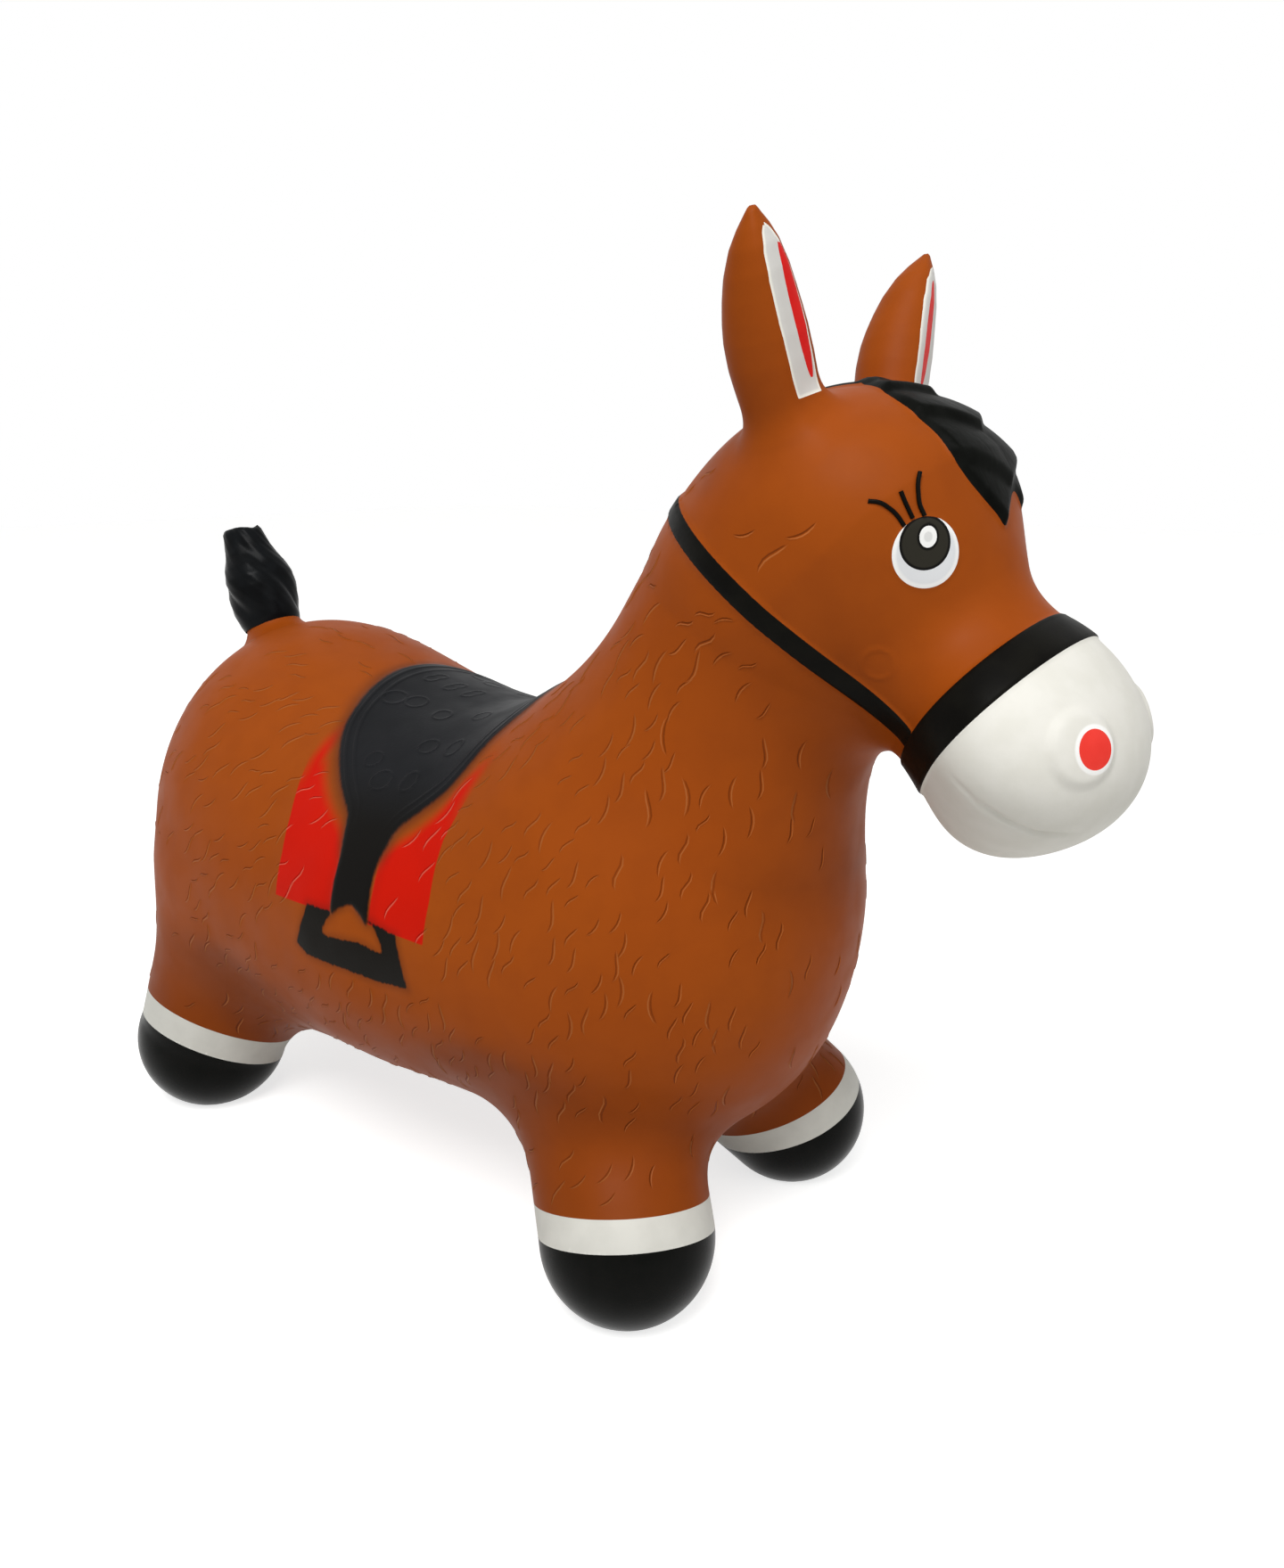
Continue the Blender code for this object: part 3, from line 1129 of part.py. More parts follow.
def move_to_origin():
    # soles on the floor, bounds centred over the origin
    pieces = [item for item in bpy.data.objects if item.type == "MESH" and not item.hide_render]
    ends = [vert.co.x for piece in pieces for vert in piece.data.vertices]
    shift = Matrix.Translation((-(min(ends) + max(ends)) / 2.0, 0.0, -SOLE_Z))
    for piece in pieces:
        piece.data.transform(shift)
        piece.data.update()
    print("moved by", tuple(round(value, 5) for value in shift.translation))


def build():
    for item in list(bpy.data.objects):
        bpy.data.objects.remove(item, do_unlink=True)
    brown = material("brown vinyl", (0.35, 0.11, 0.035), 0.45)
    white = material("white paint", (0.84, 0.83, 0.80), 0.4)
    black = material("black paint", (0.012, 0.012, 0.013), 0.35)
    leather = material("charcoal paint", (0.022, 0.023, 0.027), 0.5)
    red = material("red paint", (0.80, 0.012, 0.010), 0.4)
    hair = material("black vinyl", (0.010, 0.010, 0.011), 0.35)
    skin = Skin()
    print("skin facets", len(skin.faces))
    trunk, head = divide_skin(skin, brown, white, black)
    make_ears(head, brown, white, red)
    make_tail(trunk, brown, hair)
    make_saddle(skin, leather, red)
    make_stirrup(skin, leather)
    make_bridle(skin, black)
    make_forelock(skin, hair)
    make_face(skin, {"white": white, "black": black, "red": red})
    make_valve(trunk, brown)
    move_to_origin()


build()
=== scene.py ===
# Bouncy ride-on horse: the finished skin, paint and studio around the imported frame.
# Sizes are metres, measured from a point midway between the feet; toOrigin moves them into the frame.

import json
import math

import bmesh
import bpy
import numpy as np
from mathutils import Matrix, Vector

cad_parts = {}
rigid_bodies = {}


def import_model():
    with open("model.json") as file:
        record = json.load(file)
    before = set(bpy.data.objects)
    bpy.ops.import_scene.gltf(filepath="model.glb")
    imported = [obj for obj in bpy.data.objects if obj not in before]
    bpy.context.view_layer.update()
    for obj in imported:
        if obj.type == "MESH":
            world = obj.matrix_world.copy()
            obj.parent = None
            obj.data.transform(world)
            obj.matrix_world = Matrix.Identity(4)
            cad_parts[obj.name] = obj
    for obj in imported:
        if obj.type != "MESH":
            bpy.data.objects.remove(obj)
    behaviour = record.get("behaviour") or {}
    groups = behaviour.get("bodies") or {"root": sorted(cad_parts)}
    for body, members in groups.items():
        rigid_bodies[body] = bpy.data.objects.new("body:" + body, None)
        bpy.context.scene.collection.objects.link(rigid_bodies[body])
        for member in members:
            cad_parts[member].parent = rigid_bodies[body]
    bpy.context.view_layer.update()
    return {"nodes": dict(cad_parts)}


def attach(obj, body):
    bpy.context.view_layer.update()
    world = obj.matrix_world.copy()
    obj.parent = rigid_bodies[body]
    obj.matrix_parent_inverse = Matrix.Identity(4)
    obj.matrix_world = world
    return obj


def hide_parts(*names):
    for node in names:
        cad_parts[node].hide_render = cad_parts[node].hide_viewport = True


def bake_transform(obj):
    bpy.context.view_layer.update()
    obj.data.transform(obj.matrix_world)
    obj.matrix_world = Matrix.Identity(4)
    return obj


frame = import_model()
toOrigin = np.array((-0.05985, 0.0, -0.004))


# Forms

volumes = {  # centre, radii, pitch in degrees
    "rump": ((-0.1275, 0.0, 0.173), (0.105, 0.108, 0.126), 0.0),
    "belly": ((0.0, 0.0, 0.161), (0.158, 0.125, 0.1055), 0.0),
    "chest": ((0.129, 0.0, 0.161), (0.094, 0.102, 0.102), 0.0),
    "brow": ((0.231, 0.0, 0.382), (0.0545, 0.061, 0.042), 0.0),
    "muzzle": ((0.308, 0.0, 0.293), (0.048, 0.056, 0.0394), -43.0),
    "chin": ((0.3, 0.0, 0.27), (0.029, 0.029, 0.031), -34.0),
}
tapers = {  # start, end, start radius, end radius
    "neck": ((0.141, 0.0, 0.233), (0.193, 0.0, 0.331), 0.073, 0.064),
    "bridge": ((0.252, 0.0, 0.342), (0.294, 0.0, 0.3), 0.05, 0.034),
    "frontLeg": ((0.114, 0.035, 0.101), (0.162, 0.075, 0.039), 0.043, 0.042),
    "rearLeg": ((-0.1395, 0.053, 0.137), (-0.1715, 0.075, 0.042), 0.055, 0.045),
    "tailRoot": ((-0.1685, 0.0, 0.262), (-0.1805, 0.0, 0.2925), 0.0206, 0.0158),
}
blends = {"body": 0.063, "head": 0.044, "chin": 0.02, "leg": 0.026, "ear": 0.013, "tail": 0.016}
skin = {  # facets, the flat sole's height, the step of a slope probe, the longest slide back to the skin
    "facet": 0.0024, "sole": 0.004, "probe": 0.0003, "slide": 0.006, "relaxRounds": 5, "relaxShare": 0.6}
neckTop = {"lean": 26.0, "bridle": 0.335, "head": 0.3526}  # the plane across it, where bridle and head begin
outside = -0.05  # what a mark holds well away from its outline
lineWidth = 0.0009  # of the raised saddle lines and the cheek ring
mirrors = {"Left": np.array((1.0, 1.0, 1.0)), "Right": np.array((1.0, -1.0, 1.0))}
ear = {
    "root": (0.223, 0.0362, 0.391), "tip": (0.218, 0.0725, 0.483), "halfWidth": 0.0157, "halfDepth": 0.0172,
    "bow": 0.006, "turn": 6.0, "bendLength": 0.024, "flat": 0.83, "ridge": 0.0022,
    "widths": ((-0.2, 0.95), (0.0, 0.92), (0.15, 0.92), (0.33, 0.97), (0.45, 1.0), (0.55, 0.98), (0.62, 0.93),
        (0.7, 0.85), (0.78, 0.75), (0.87, 0.57), (0.93, 0.38), (0.97, 0.22), (1.0, 0.1))}


def unit(vector):
    return vector / np.linalg.norm(vector)


def lengths(rows):
    return np.linalg.norm(rows, axis=-1)


def profile(share, rows):
    return np.interp(share, *np.array(rows).T)


def linked(name, data):
    made = bpy.data.objects.new(name, data)
    bpy.context.scene.collection.objects.link(made)
    return made


def meshArrays(mesh):
    points = np.empty(len(mesh.vertices) * 3)
    mesh.vertices.foreach_get("co", points)
    return points.reshape(-1, 3), np.array([list(face.vertices) for face in mesh.polygons])


def marked(mesh, name, values):
    kind, key = ("FLOAT", "value") if values.ndim == 1 else ("FLOAT_VECTOR", "vector")
    mesh.attributes.new(name, kind, "POINT").data.foreach_set(key, values.ravel().astype(np.float32))


def meshOf(made):
    # the plain mesh that an object's modifiers make, kept in place of the object
    bpy.context.view_layer.update()
    mesh = bpy.data.meshes.new_from_object(made.evaluated_get(bpy.context.evaluated_depsgraph_get()))
    bpy.data.objects.remove(made, do_unlink=True)
    return mesh


def addedUp(count, pairs):
    # rows of vectors summed at the points whose numbers go with them
    return np.stack([sum(np.bincount(which, rows[:, axis], count) for which, rows in pairs)
                     for axis in range(3)], axis=1)


def ellipsoidHeight(points, centre, radii, pitch):
    local = points - np.array(centre)
    if pitch:
        cosine, sine = math.cos(math.radians(pitch)), math.sin(math.radians(pitch))
        local = np.stack((local[:, 0] * cosine + local[:, 2] * sine, local[:, 1],
                          local[:, 2] * cosine - local[:, 0] * sine), axis=1)
    near = np.sqrt(((local / radii) ** 2).sum(axis=1))
    slope = np.sqrt(((local / np.array(radii) ** 2) ** 2).sum(axis=1)) + 1e-9
    return near * (near - 1.0) / slope


def taperedHeight(points, start, end, startRadius, endRadius):
    start = np.array(start)
    run = np.array(end) - start
    length = np.linalg.norm(run)
    local = points - start
    along = local @ run / length
    across = np.sqrt(np.maximum((local ** 2).sum(axis=1) - along ** 2, 0.0))
    lean = (startRadius - endRadius) / length
    share = np.clip((along + across * lean / math.sqrt(1.0 - lean ** 2)) / length, 0.0, 1.0)
    gap = points - (start + share[:, None] * run)
    return np.sqrt((gap ** 2).sum(axis=1)) - (startRadius + (endRadius - startRadius) * share)


def blended(first, second, width):
    overlap = np.maximum(width - np.abs(first - second), 0.0)
    return np.minimum(first, second) - overlap ** 2 / (4.0 * width)


def folded(points):
    # both sides seen as the left one
    return points * np.where(points[:, 1:2] < 0.0, (1.0, -1.0, 1.0), 1.0)


def earAxes():
    root = np.array(ear["root"])
    run = np.array(ear["tip"]) - root
    turn = math.radians(ear["turn"])
    across = unit(np.cross(run, (math.cos(turn), math.sin(turn), 0.0)))
    return root, run, unit(np.cross(across, run)), across


def earPlace(points):
    # share along the ear, then metres towards its hollow side, across it and past its ends
    root, run, facing, across = earAxes()
    length = np.linalg.norm(run)
    local = points - root
    raw = local @ run / length ** 2
    share = np.clip(raw, -0.2, 1.0)
    towards = local @ facing + ear["bow"] * 4.0 * share * (1.0 - share)
    return share, towards, local @ across, (raw - share) * length


def earHeight(points):
    share, towards, sideways, past = earPlace(folded(points))
    scale = profile(share, ear["widths"])
    depth, width = ear["halfDepth"] * scale, ear["halfWidth"] * scale
    near = np.hypot(towards / depth, sideways / width)
    slope = np.hypot(towards / depth ** 2, sideways / width ** 2) + 1e-9
    section = -blended(-near * (near - 1.0) / slope, ear["flat"] * depth - towards, ear["ridge"])
    return np.where(past == 0.0, section, np.hypot(np.maximum(section, 0.0), past))


def plainForms(points):
    sides = folded(points)
    found = {name: ellipsoidHeight(points, *sizes) for name, sizes in volumes.items()}
    found.update({name: taperedHeight(sides, *sizes) for name, sizes in tapers.items()})
    found["ear"] = earHeight(points)
    return found


def joined(form):
    barrel = blended(blended(form["rump"], form["belly"], blends["body"]), form["chest"], blends["body"])
    head = blended(form["brow"], form["bridge"], blends["head"])
    head = blended(head, blended(form["muzzle"], form["chin"], blends["chin"]), blends["chin"])
    whole = blended(barrel, blended(form["neck"], head, blends["head"]), blends["body"])
    for leg in ("frontLeg", "rearLeg"):
        whole = blended(whole, form[leg], blends["leg"])
    whole = blended(whole, form["ear"], blends["ear"])
    return blended(whole, form["tailRoot"], blends["tail"])


def skinHeight(points):
    return joined(plainForms(points))


def outward(points, here=None):
    # unit direction away from the skin
    here = skinHeight(points) if here is None else here
    slope = np.stack([skinHeight(points + axis) - here for axis in np.eye(3) * skin["probe"]], axis=1)
    return slope / np.linalg.norm(slope, axis=1, keepdims=True)


def settled(points, rounds):
    for _ in range(rounds):
        here = skinHeight(points)
        points = points - outward(points, here) * np.clip(here, -skin["slide"], skin["slide"])[:, None]
    return points


def roughVolumes():
    # the plain volumes overlapping, as a start for the remesh
    ball = bpy.data.meshes.new("ball")
    form = bmesh.new()
    bmesh.ops.create_icosphere(form, subdivisions=4, radius=1.0)
    form.to_mesh(ball)
    form.free()
    ballPoints, ballFaces = meshArrays(ball)
    points = []

    def place(centre, radii, pitch=0.0):
        turn = np.array(Matrix.Rotation(math.radians(-pitch), 3, "Y"))
        points.append((ballPoints * radii) @ turn.T + centre)

    for sizes in volumes.values():
        place(*sizes)
    for start, end, startRadius, endRadius in tapers.values():
        for mirror in mirrors.values():
            for share in np.linspace(0.0, 1.0, 7):
                centre = np.array(start) * (1.0 - share) + np.array(end) * share
                place(centre * mirror, startRadius * (1.0 - share) + endRadius * share)
    root, run, facing, _ = earAxes()
    for mirror in mirrors.values():
        for share in np.linspace(0.0, 0.97, 25):
            centre = root + run * share - facing * ear["bow"] * 4.0 * share * (1.0 - share)
            place(centre * mirror, ear["halfWidth"] * profile(share, ear["widths"]))
    faces = np.concatenate([ballFaces + len(ballPoints) * number for number in range(len(points))])
    mesh = bpy.data.meshes.new("volumes")
    mesh.from_pydata(np.concatenate(points).tolist(), [], faces.tolist())
    return linked("volumes", mesh)


def fineSkin():
    rough = roughVolumes()
    remesh = rough.modifiers.new("even facets", "REMESH")
    remesh.mode = "VOXEL"
    remesh.voxel_size = skin["facet"]
    even = meshOf(rough)
    points, faces = meshArrays(even)
    first, second = np.array([list(edge.vertices) for edge in even.edges]).T
    uses = np.bincount(np.concatenate((first, second)), minlength=len(points))[:, None]
    points = settled(points, 5)
    for _ in range(skin["relaxRounds"]):
        total = addedUp(len(points), ((first, points[second]), (second, points[first])))
        slide = (total / uses - points) * skin["relaxShare"]
        away = outward(points)
        points = settled(points + slide - away * (slide * away).sum(axis=1, keepdims=True), 1)
    return settled(points, 2), faces


print("fine skin")
skinPoints, skinFaces = fineSkin()
print("skin facets", len(skinFaces))


# Outlines of the paint and relief

saddle = {  # side view, x and z
    "paint": ((-0.052, 0.31), (-0.052, 0.284), (-0.0475, 0.274), (-0.042, 0.2655), (-0.036, 0.2567),
        (-0.026, 0.2471), (-0.0125, 0.2371), (-0.0015, 0.2302), (0.0065, 0.225), (0.0115, 0.215),
        (0.014, 0.2065), (0.015, 0.195), (0.0168, 0.183), (0.0215, 0.1855), (0.0285, 0.1885), (0.035, 0.185),
        (0.04, 0.1815), (0.0395, 0.192), (0.038, 0.205), (0.039, 0.216), (0.041, 0.224), (0.048, 0.2315),
        (0.056, 0.24), (0.0605, 0.249), (0.064, 0.261), (0.069, 0.2715), (0.0735, 0.281), (0.074, 0.31)),
    "raise": 0.0011, "lineRaise": 0.0002, "border": (0.0028, 0.0064), "leatherTop": 0.229,
    "rings": (  # centre on the skin, then half length and half height
        (0.0136, 0.0824, 0.2397, 0.0062, 0.0056), (0.0301, 0.0789, 0.241, 0.0042, 0.0062),
        (0.0399, 0.0569, 0.2552, 0.0042, 0.006), (0.0225, 0.0582, 0.2534, 0.0056, 0.005),
        (-0.0015, 0.0737, 0.2464, 0.005, 0.005), (-0.0169, 0.0296, 0.2668, 0.006, 0.0048),
        (-0.03, 0.0335, 0.2681, 0.0068, 0.0046), (0.006, 0.033, 0.264, 0.0052, 0.0046),
        (0.03, 0.027, 0.2645, 0.005, 0.0046), (-0.033, 0.003, 0.273, 0.003, 0.005),
        (-0.018, 0.003, 0.2705, 0.003, 0.005), (-0.004, 0.003, 0.269, 0.003, 0.005))}
cloth = {
    "paint": ((-0.0405, 0.261), (-0.0425, 0.252), (-0.0418, 0.2434), (-0.0384, 0.2328), (-0.033, 0.2189),
        (-0.0291, 0.2023), (-0.0274, 0.1821), (-0.004, 0.1825), (0.0165, 0.1832), (0.02, 0.183),
        (0.0401, 0.1818), (0.0573, 0.1799), (0.0742, 0.1786), (0.0738, 0.1981), (0.0714, 0.2137),
        (0.0704, 0.2239), (0.0719, 0.2325), (0.0745, 0.2451), (0.0785, 0.257), (0.083, 0.266)),
    "bare": ((-0.0335, 0.3), (-0.0338, 0.25), (-0.0288, 0.2415), (-0.0176, 0.2321), (-0.0056, 0.225),
        (0.0077, 0.2177), (0.014, 0.2067), (0.016, 0.19), (0.016, 0.15), (0.04, 0.15), (0.04, 0.19),
        (0.0387, 0.2084), (0.0418, 0.2163), (0.052, 0.2245), (0.0606, 0.235), (0.0655, 0.247), (0.078, 0.268),
        (0.085, 0.3))}
stirrup = {
    "outer": ((-0.001, 0.1835), (-0.0045, 0.1725), (-0.008, 0.1625), (-0.0005, 0.1578), (0.0246, 0.1563),
        (0.0464, 0.1545), (0.065, 0.1548), (0.062, 0.1659), (0.0577, 0.1797), (0.04, 0.1835)),
    "hole": ((0.017, 0.183), (0.0122, 0.1716), (0.035, 0.1718), (0.05, 0.1697), (0.0445, 0.1805), (0.04, 0.183),
        (0.0345, 0.1858), (0.0285, 0.1888), (0.022, 0.1862))}
bridle = {  # the noseband's lean in degrees, the strap's direction, then low and high edge along each
    "noseband": (-39.5, 0.0265, 0.0418), "strap": ((0.583, -0.205, 0.786), 0.3763, 0.3848), "raise": 0.0011,
    "round": 0.0011}
forelock = {  # corners along the brow's slope and across it
    "slope": 37.0, "back": -0.07, "raise": 0.0012, "round": 0.0024,
    "paint": ((-0.074, -0.004), (-0.062, -0.015), (-0.05, -0.0228), (-0.037, -0.0263), (-0.026, -0.027),
        (-0.0154, -0.0278), (-0.006, -0.0246), (0.002, -0.0187), (0.008, -0.0125), (0.012, -0.008),
        (0.008, -0.002), (0.003, 0.006), (0.002, 0.012), (0.006, 0.018), (0.0, 0.0225), (-0.012, 0.0262),
        (-0.03, 0.027), (-0.048, 0.0232), (-0.062, 0.015), (-0.074, 0.006)),
    "lockLength": 0.024, "lockRise": 0.003, "maneBack": -0.125, "maneHalfWidth": 0.006, "maneRaise": 0.0018,
    "lockLean": 0.45, "lockMiddle": 0.004, "lockEdge": 0.12,
    "brow": (0.284, 0.4, 0.034, 0.0035)}  # x, z, reach and depth of the flatter brow
spots = {  # side view, x and z, then radius
    "white": (0.2786, 0.363, 0.0132), "pupil": (0.2782, 0.3666, 0.0101), "spark": (0.2788, 0.3688, 0.004),
    "nostril": (0.3405, 0.2965, 0.0138), "dot": (0.3427, 0.2957, 0.0073), "cheek": (0.2624, 0.32, 0.0062)}
eye = {
    "lashes": (((0.2722, 0.3728), (0.27, 0.3766), (0.2676, 0.3792), (0.2646, 0.3812), (0.2609, 0.3817)),
        ((0.2744, 0.3755), (0.2728, 0.3793), (0.2715, 0.3823), (0.2703, 0.3852)),
        ((0.2775, 0.3764), (0.2758, 0.3808), (0.2751, 0.3844), (0.2745, 0.3882), (0.2742, 0.3921))),
    "lashRadius": 0.00084, "lashSunk": 0.00035, "raise": 0.0005}
face = {
    "cheekRaise": 0.00035, "nostrilRaise": 0.0015, "nostrilRound": 0.0026,
    "creases": (((0.295, 0.055, 0.284), (0.308, 0.052, 0.273), (0.325, 0.038, 0.262), (0.339, 0.024, 0.259)),
        ((0.305, 0.0525, 0.275), (0.314, 0.046, 0.2645), (0.325, 0.035, 0.2555), (0.333, 0.024, 0.252))),
    "creaseDepth": 0.0019, "creaseWidth": 0.0014}
leaf = {  # share along the ear, half width as a share of the ear's; the red lies nearer one edge
    "widths": ((0.3, 0.42), (0.4, 0.47), (0.6, 0.49), (0.75, 0.44), (0.85, 0.34), (0.91, 0.18), (0.94, 0.02)),
    "low": 0.31, "slant": 0.12, "redLow": 0.36, "redHigh": 0.87, "redMiddle": (0.25, -0.1), "redHalf": 0.2,
    "sides": (1.0, 1.25)}
band = {  # foot, its tilted axis, the band's low and high edge along it, and the sleeve's height above the band
    "front": ((0.162, 0.075, 0.039), (-0.26, -0.26, 0.93), 0.0022, 0.0165),
    "rear": ((-0.1715, 0.075, 0.042), (0.18, -0.43, 0.88), 0.001, 0.018), "sleeve": 0.032}


def smoothLoop(corners, steps=5):
    corners = np.array(corners)
    rows = []
    before, after, beyond = np.roll(corners, 1, 0), np.roll(corners, -1, 0), np.roll(corners, -2, 0)
    for share in np.arange(steps) / steps:
        rows.append(0.5 * (2.0 * corners + (after - before) * share
                           + (2.0 * before - 5.0 * corners + 4.0 * after - beyond) * share ** 2
                           + (3.0 * corners - 3.0 * after + beyond - before) * share ** 3))
    return np.stack(rows, axis=1).reshape(-1, 2)


def insideBy(places, loop):
    # metres inside a closed outline, negative outside
    nearest = np.full(len(places), 1.0)
    inside = np.zeros(len(places), dtype=bool)
    for start, end in zip(loop, np.roll(loop, -1, 0)):
        run = end - start
        gap = places - start
        share = np.clip(gap @ run / max(run @ run, 1e-12), 0.0, 1.0)
        nearest = np.minimum(nearest, np.hypot(gap[:, 0] - run[0] * share, gap[:, 1] - run[1] * share))
        if run[1]:
            crosses = (start[1] > places[:, 1]) != (end[1] > places[:, 1])
            inside ^= crosses & (gap[:, 0] < run[0] * gap[:, 1] / run[1])
    return np.where(inside, nearest, -nearest)


def lineGap(points, path):
    # metres from a path of straight runs
    nearest = np.full(len(points), 1.0)
    for start, end in zip(path[:-1], path[1:]):
        start, run = np.array(start), np.array(end) - np.array(start)
        share = np.clip((points - start) @ run / (run @ run), 0.0, 1.0)
        nearest = np.minimum(nearest, lengths(points - start - share[:, None] * run))
    return nearest


def leaning(points, degrees):
    return points[:, 0] * math.cos(math.radians(degrees)) + points[:, 2] * math.sin(math.radians(degrees))


def footAxis(name):
    return np.array(band[name][0]), unit(np.array(band[name][1]))


def sidePoint(x, z):
    # the skin's point seen from the left side, and its direction
    point = np.array(((x, 0.06, z),))
    for _ in range(12):
        point[:, 1] -= skinHeight(point) / np.maximum(outward(point)[:, 1], 0.2)
    return point[0], outward(point)[0]


spotPlaces = {name: sidePoint(*sizes[:2]) for name, sizes in spots.items()}
outlines = {
    "saddle": smoothLoop(saddle["paint"]), "cloth": np.array(cloth["paint"]), "bare": smoothLoop(cloth["bare"]),
    "stirrup": np.array(stirrup["outer"]), "hole": smoothLoop(stirrup["hole"]),
    "forelock": smoothLoop(forelock["paint"])}


def marks(points):
    # every outline as metres inside it, on both sides of the horse
    places = folded(points)
    view = places[:, (0, 2)]
    x, y, z = points.T
    flank = (np.abs(x) < 0.1) & (z > 0.14)
    front = x > 0.1
    onHead = front & (leaning(points, neckTop["lean"]) > neckTop["bridle"])
    noseLean, noseLow, noseHigh = bridle["noseband"]
    strapRun, strapLow, strapHigh = bridle["strap"]
    alongNose, alongStrap = leaning(points, noseLean), places @ np.array(strapRun)
    alongBrow, overBrow = (leaning(points, turn - forelock["slope"]) for turn in (0.0, 90.0))

    def spread(where, values):
        whole = np.full(len(points), outside)
        whole[where] = values
        return whole

    found = {name: spread(flank, insideBy(view[flank], outlines[name]))
             for name in ("saddle", "cloth", "bare", "stirrup", "hole")}
    found["stirrup"] = np.minimum(found["stirrup"], -found.pop("hole"))
    found["ring"] = spread(flank, np.max([
        -np.abs(1.0 - lengths((places[flank] - ring[:3]) / (ring[3], max(ring[3:]), ring[4])))
        * min(ring[3:]) for ring in saddle["rings"]], axis=0))
    found["noseband"] = np.where(onHead, np.minimum(alongNose - noseLow, noseHigh - alongNose), outside)
    found["muzzle"] = np.where(onHead, alongNose - noseHigh, outside)
    found["strap"] = np.where(front & (z > 0.23), np.min(
        (alongStrap - strapLow, strapHigh - alongStrap, noseLow - alongNose), axis=0), outside)
    onBrow = onHead & (overBrow > 0.36)
    found["forelock"] = spread(onBrow, insideBy(np.stack((alongBrow, y), axis=1)[onBrow], outlines["forelock"]))
    found["mane"] = np.where(front & (overBrow > 0.3), np.min((
        forelock["maneHalfWidth"] - np.abs(y), alongBrow - forelock["maneBack"],
        forelock["back"] + 0.004 - alongBrow, alongStrap - strapHigh), axis=0), outside)
    for name, sizes in spots.items():
        found[name] = sizes[2] - lengths(places - spotPlaces[name][0])
    found["cheek"] = -np.abs(found["cheek"])
    centre, away = spotPlaces["spark"]
    upward = unit(np.cross(away, np.cross((0.0, 0.0, 1.0), away)))
    tall = (places - centre) @ upward
    wide = lengths(places - centre - tall[:, None] * upward)
    found["spark"] = spots["spark"][2] - np.hypot(wide * 1.15, tall)
    found["iris"] = np.minimum(found["pupil"], -found["spark"])  # black rims round the pupil and its spark
    found["crease"] = spread(onHead, -np.min([lineGap(places[onHead], path) for path in face["creases"]], axis=0))

    share, towards, sideways, past = earPlace(places)
    right = y < 0.0
    ahead = np.where(right, -sideways, sideways)
    onEar = (z > 0.4) & (towards > 0.0) & (past == 0.0)
    low = (share - leaf["low"]) * np.linalg.norm(earAxes()[1]) + leaf["slant"] * ahead
    wide = ear["halfWidth"] * profile(share, leaf["widths"]) * np.where(right, *leaf["sides"])
    found["leaf"] = np.where(
        onEar & (share < leaf["widths"][-1][0]), np.minimum(wide - np.abs(sideways), low), outside)
    middle = (leaf["redLow"] + leaf["redHigh"]) / 2.0
    swell = np.sqrt(np.maximum(1.0 - ((share - middle) / (leaf["redHigh"] - middle)) ** 2, 0.0))
    redWide = ear["halfWidth"] * leaf["redHalf"] * swell
    redMiddle = ear["halfWidth"] * np.where(right, *leaf["redMiddle"])
    found["red"] = np.where(onEar & (swell > 0.0), redWide - np.abs(ahead - redMiddle), outside)

    for name in ("leg", "band", "hoof"):
        found[name] = np.full(len(points), outside)
    for name, near in (("front", x > 0.05), ("rear", x < -0.08)):
        near = near & (z < 0.14)
        foot, axis = footAxis(name)
        low, high = band[name][2:]
        along = ((places - foot) @ axis)[near]
        found["leg"][near] = high + band["sleeve"] - along
        found["band"][near] = np.minimum(along - low, high - along)
        found["hoof"][near] = low - along
    return found


def eased(values, width):
    share = np.clip(values / width * 0.5 + 0.5, 0.0, 1.0)
    return share * share * (3.0 - 2.0 * share)


def relief(points, found):
    # how far the mould stands proud of the plain skin
    lift = saddle["raise"] * eased(found["saddle"], 0.002)
    onTop = eased(points[:, 2] - saddle["leatherTop"], 0.012) * eased(found["saddle"] - 0.002, 0.001)
    lines = sum(np.exp(-((found["saddle"] - inset) / lineWidth) ** 2) for inset in saddle["border"])
    lift += saddle["lineRaise"] * onTop * (lines + np.exp(-(found["ring"] / lineWidth) ** 2))
    lift += bridle["raise"] * eased(np.maximum(found["noseband"], found["strap"]), bridle["round"])
    back = leaning(points, -forelock["slope"]) - forelock["back"]
    back += forelock["lockLean"] * np.abs(points[:, 1] - forelock["lockMiddle"])
    locks = back / forelock["lockLength"] % 1.0
    locks = locks * (1.0 - eased(locks - 1.0 + forelock["lockEdge"], forelock["lockEdge"]))
    lift += (forelock["raise"] + forelock["lockRise"] * locks) * eased(found["forelock"] - 0.001, forelock["round"])
    lift += forelock["maneRaise"] * eased(found["mane"], 0.003)
    x, z, reach, depth = forelock["brow"]
    away = (points[:, 0] - x) ** 2 + (points[:, 2] - z) ** 2 + (0.7 * points[:, 1]) ** 2
    lift -= depth * np.exp(-away / reach ** 2)
    lift += eye["raise"] * eased(found["white"], 0.002)
    lift += face["nostrilRaise"] * eased(found["nostril"], face["nostrilRound"])
    lift += face["cheekRaise"] * np.exp(-(found["cheek"] / lineWidth) ** 2)
    return lift - face["creaseDepth"] * np.exp(-(found["crease"] / face["creaseWidth"]) ** 2)


def raised(points, found):
    shown = points + outward(points) * relief(points, found)[:, None]
    shown[:, 2] = np.maximum(shown[:, 2], skin["sole"])
    return shown


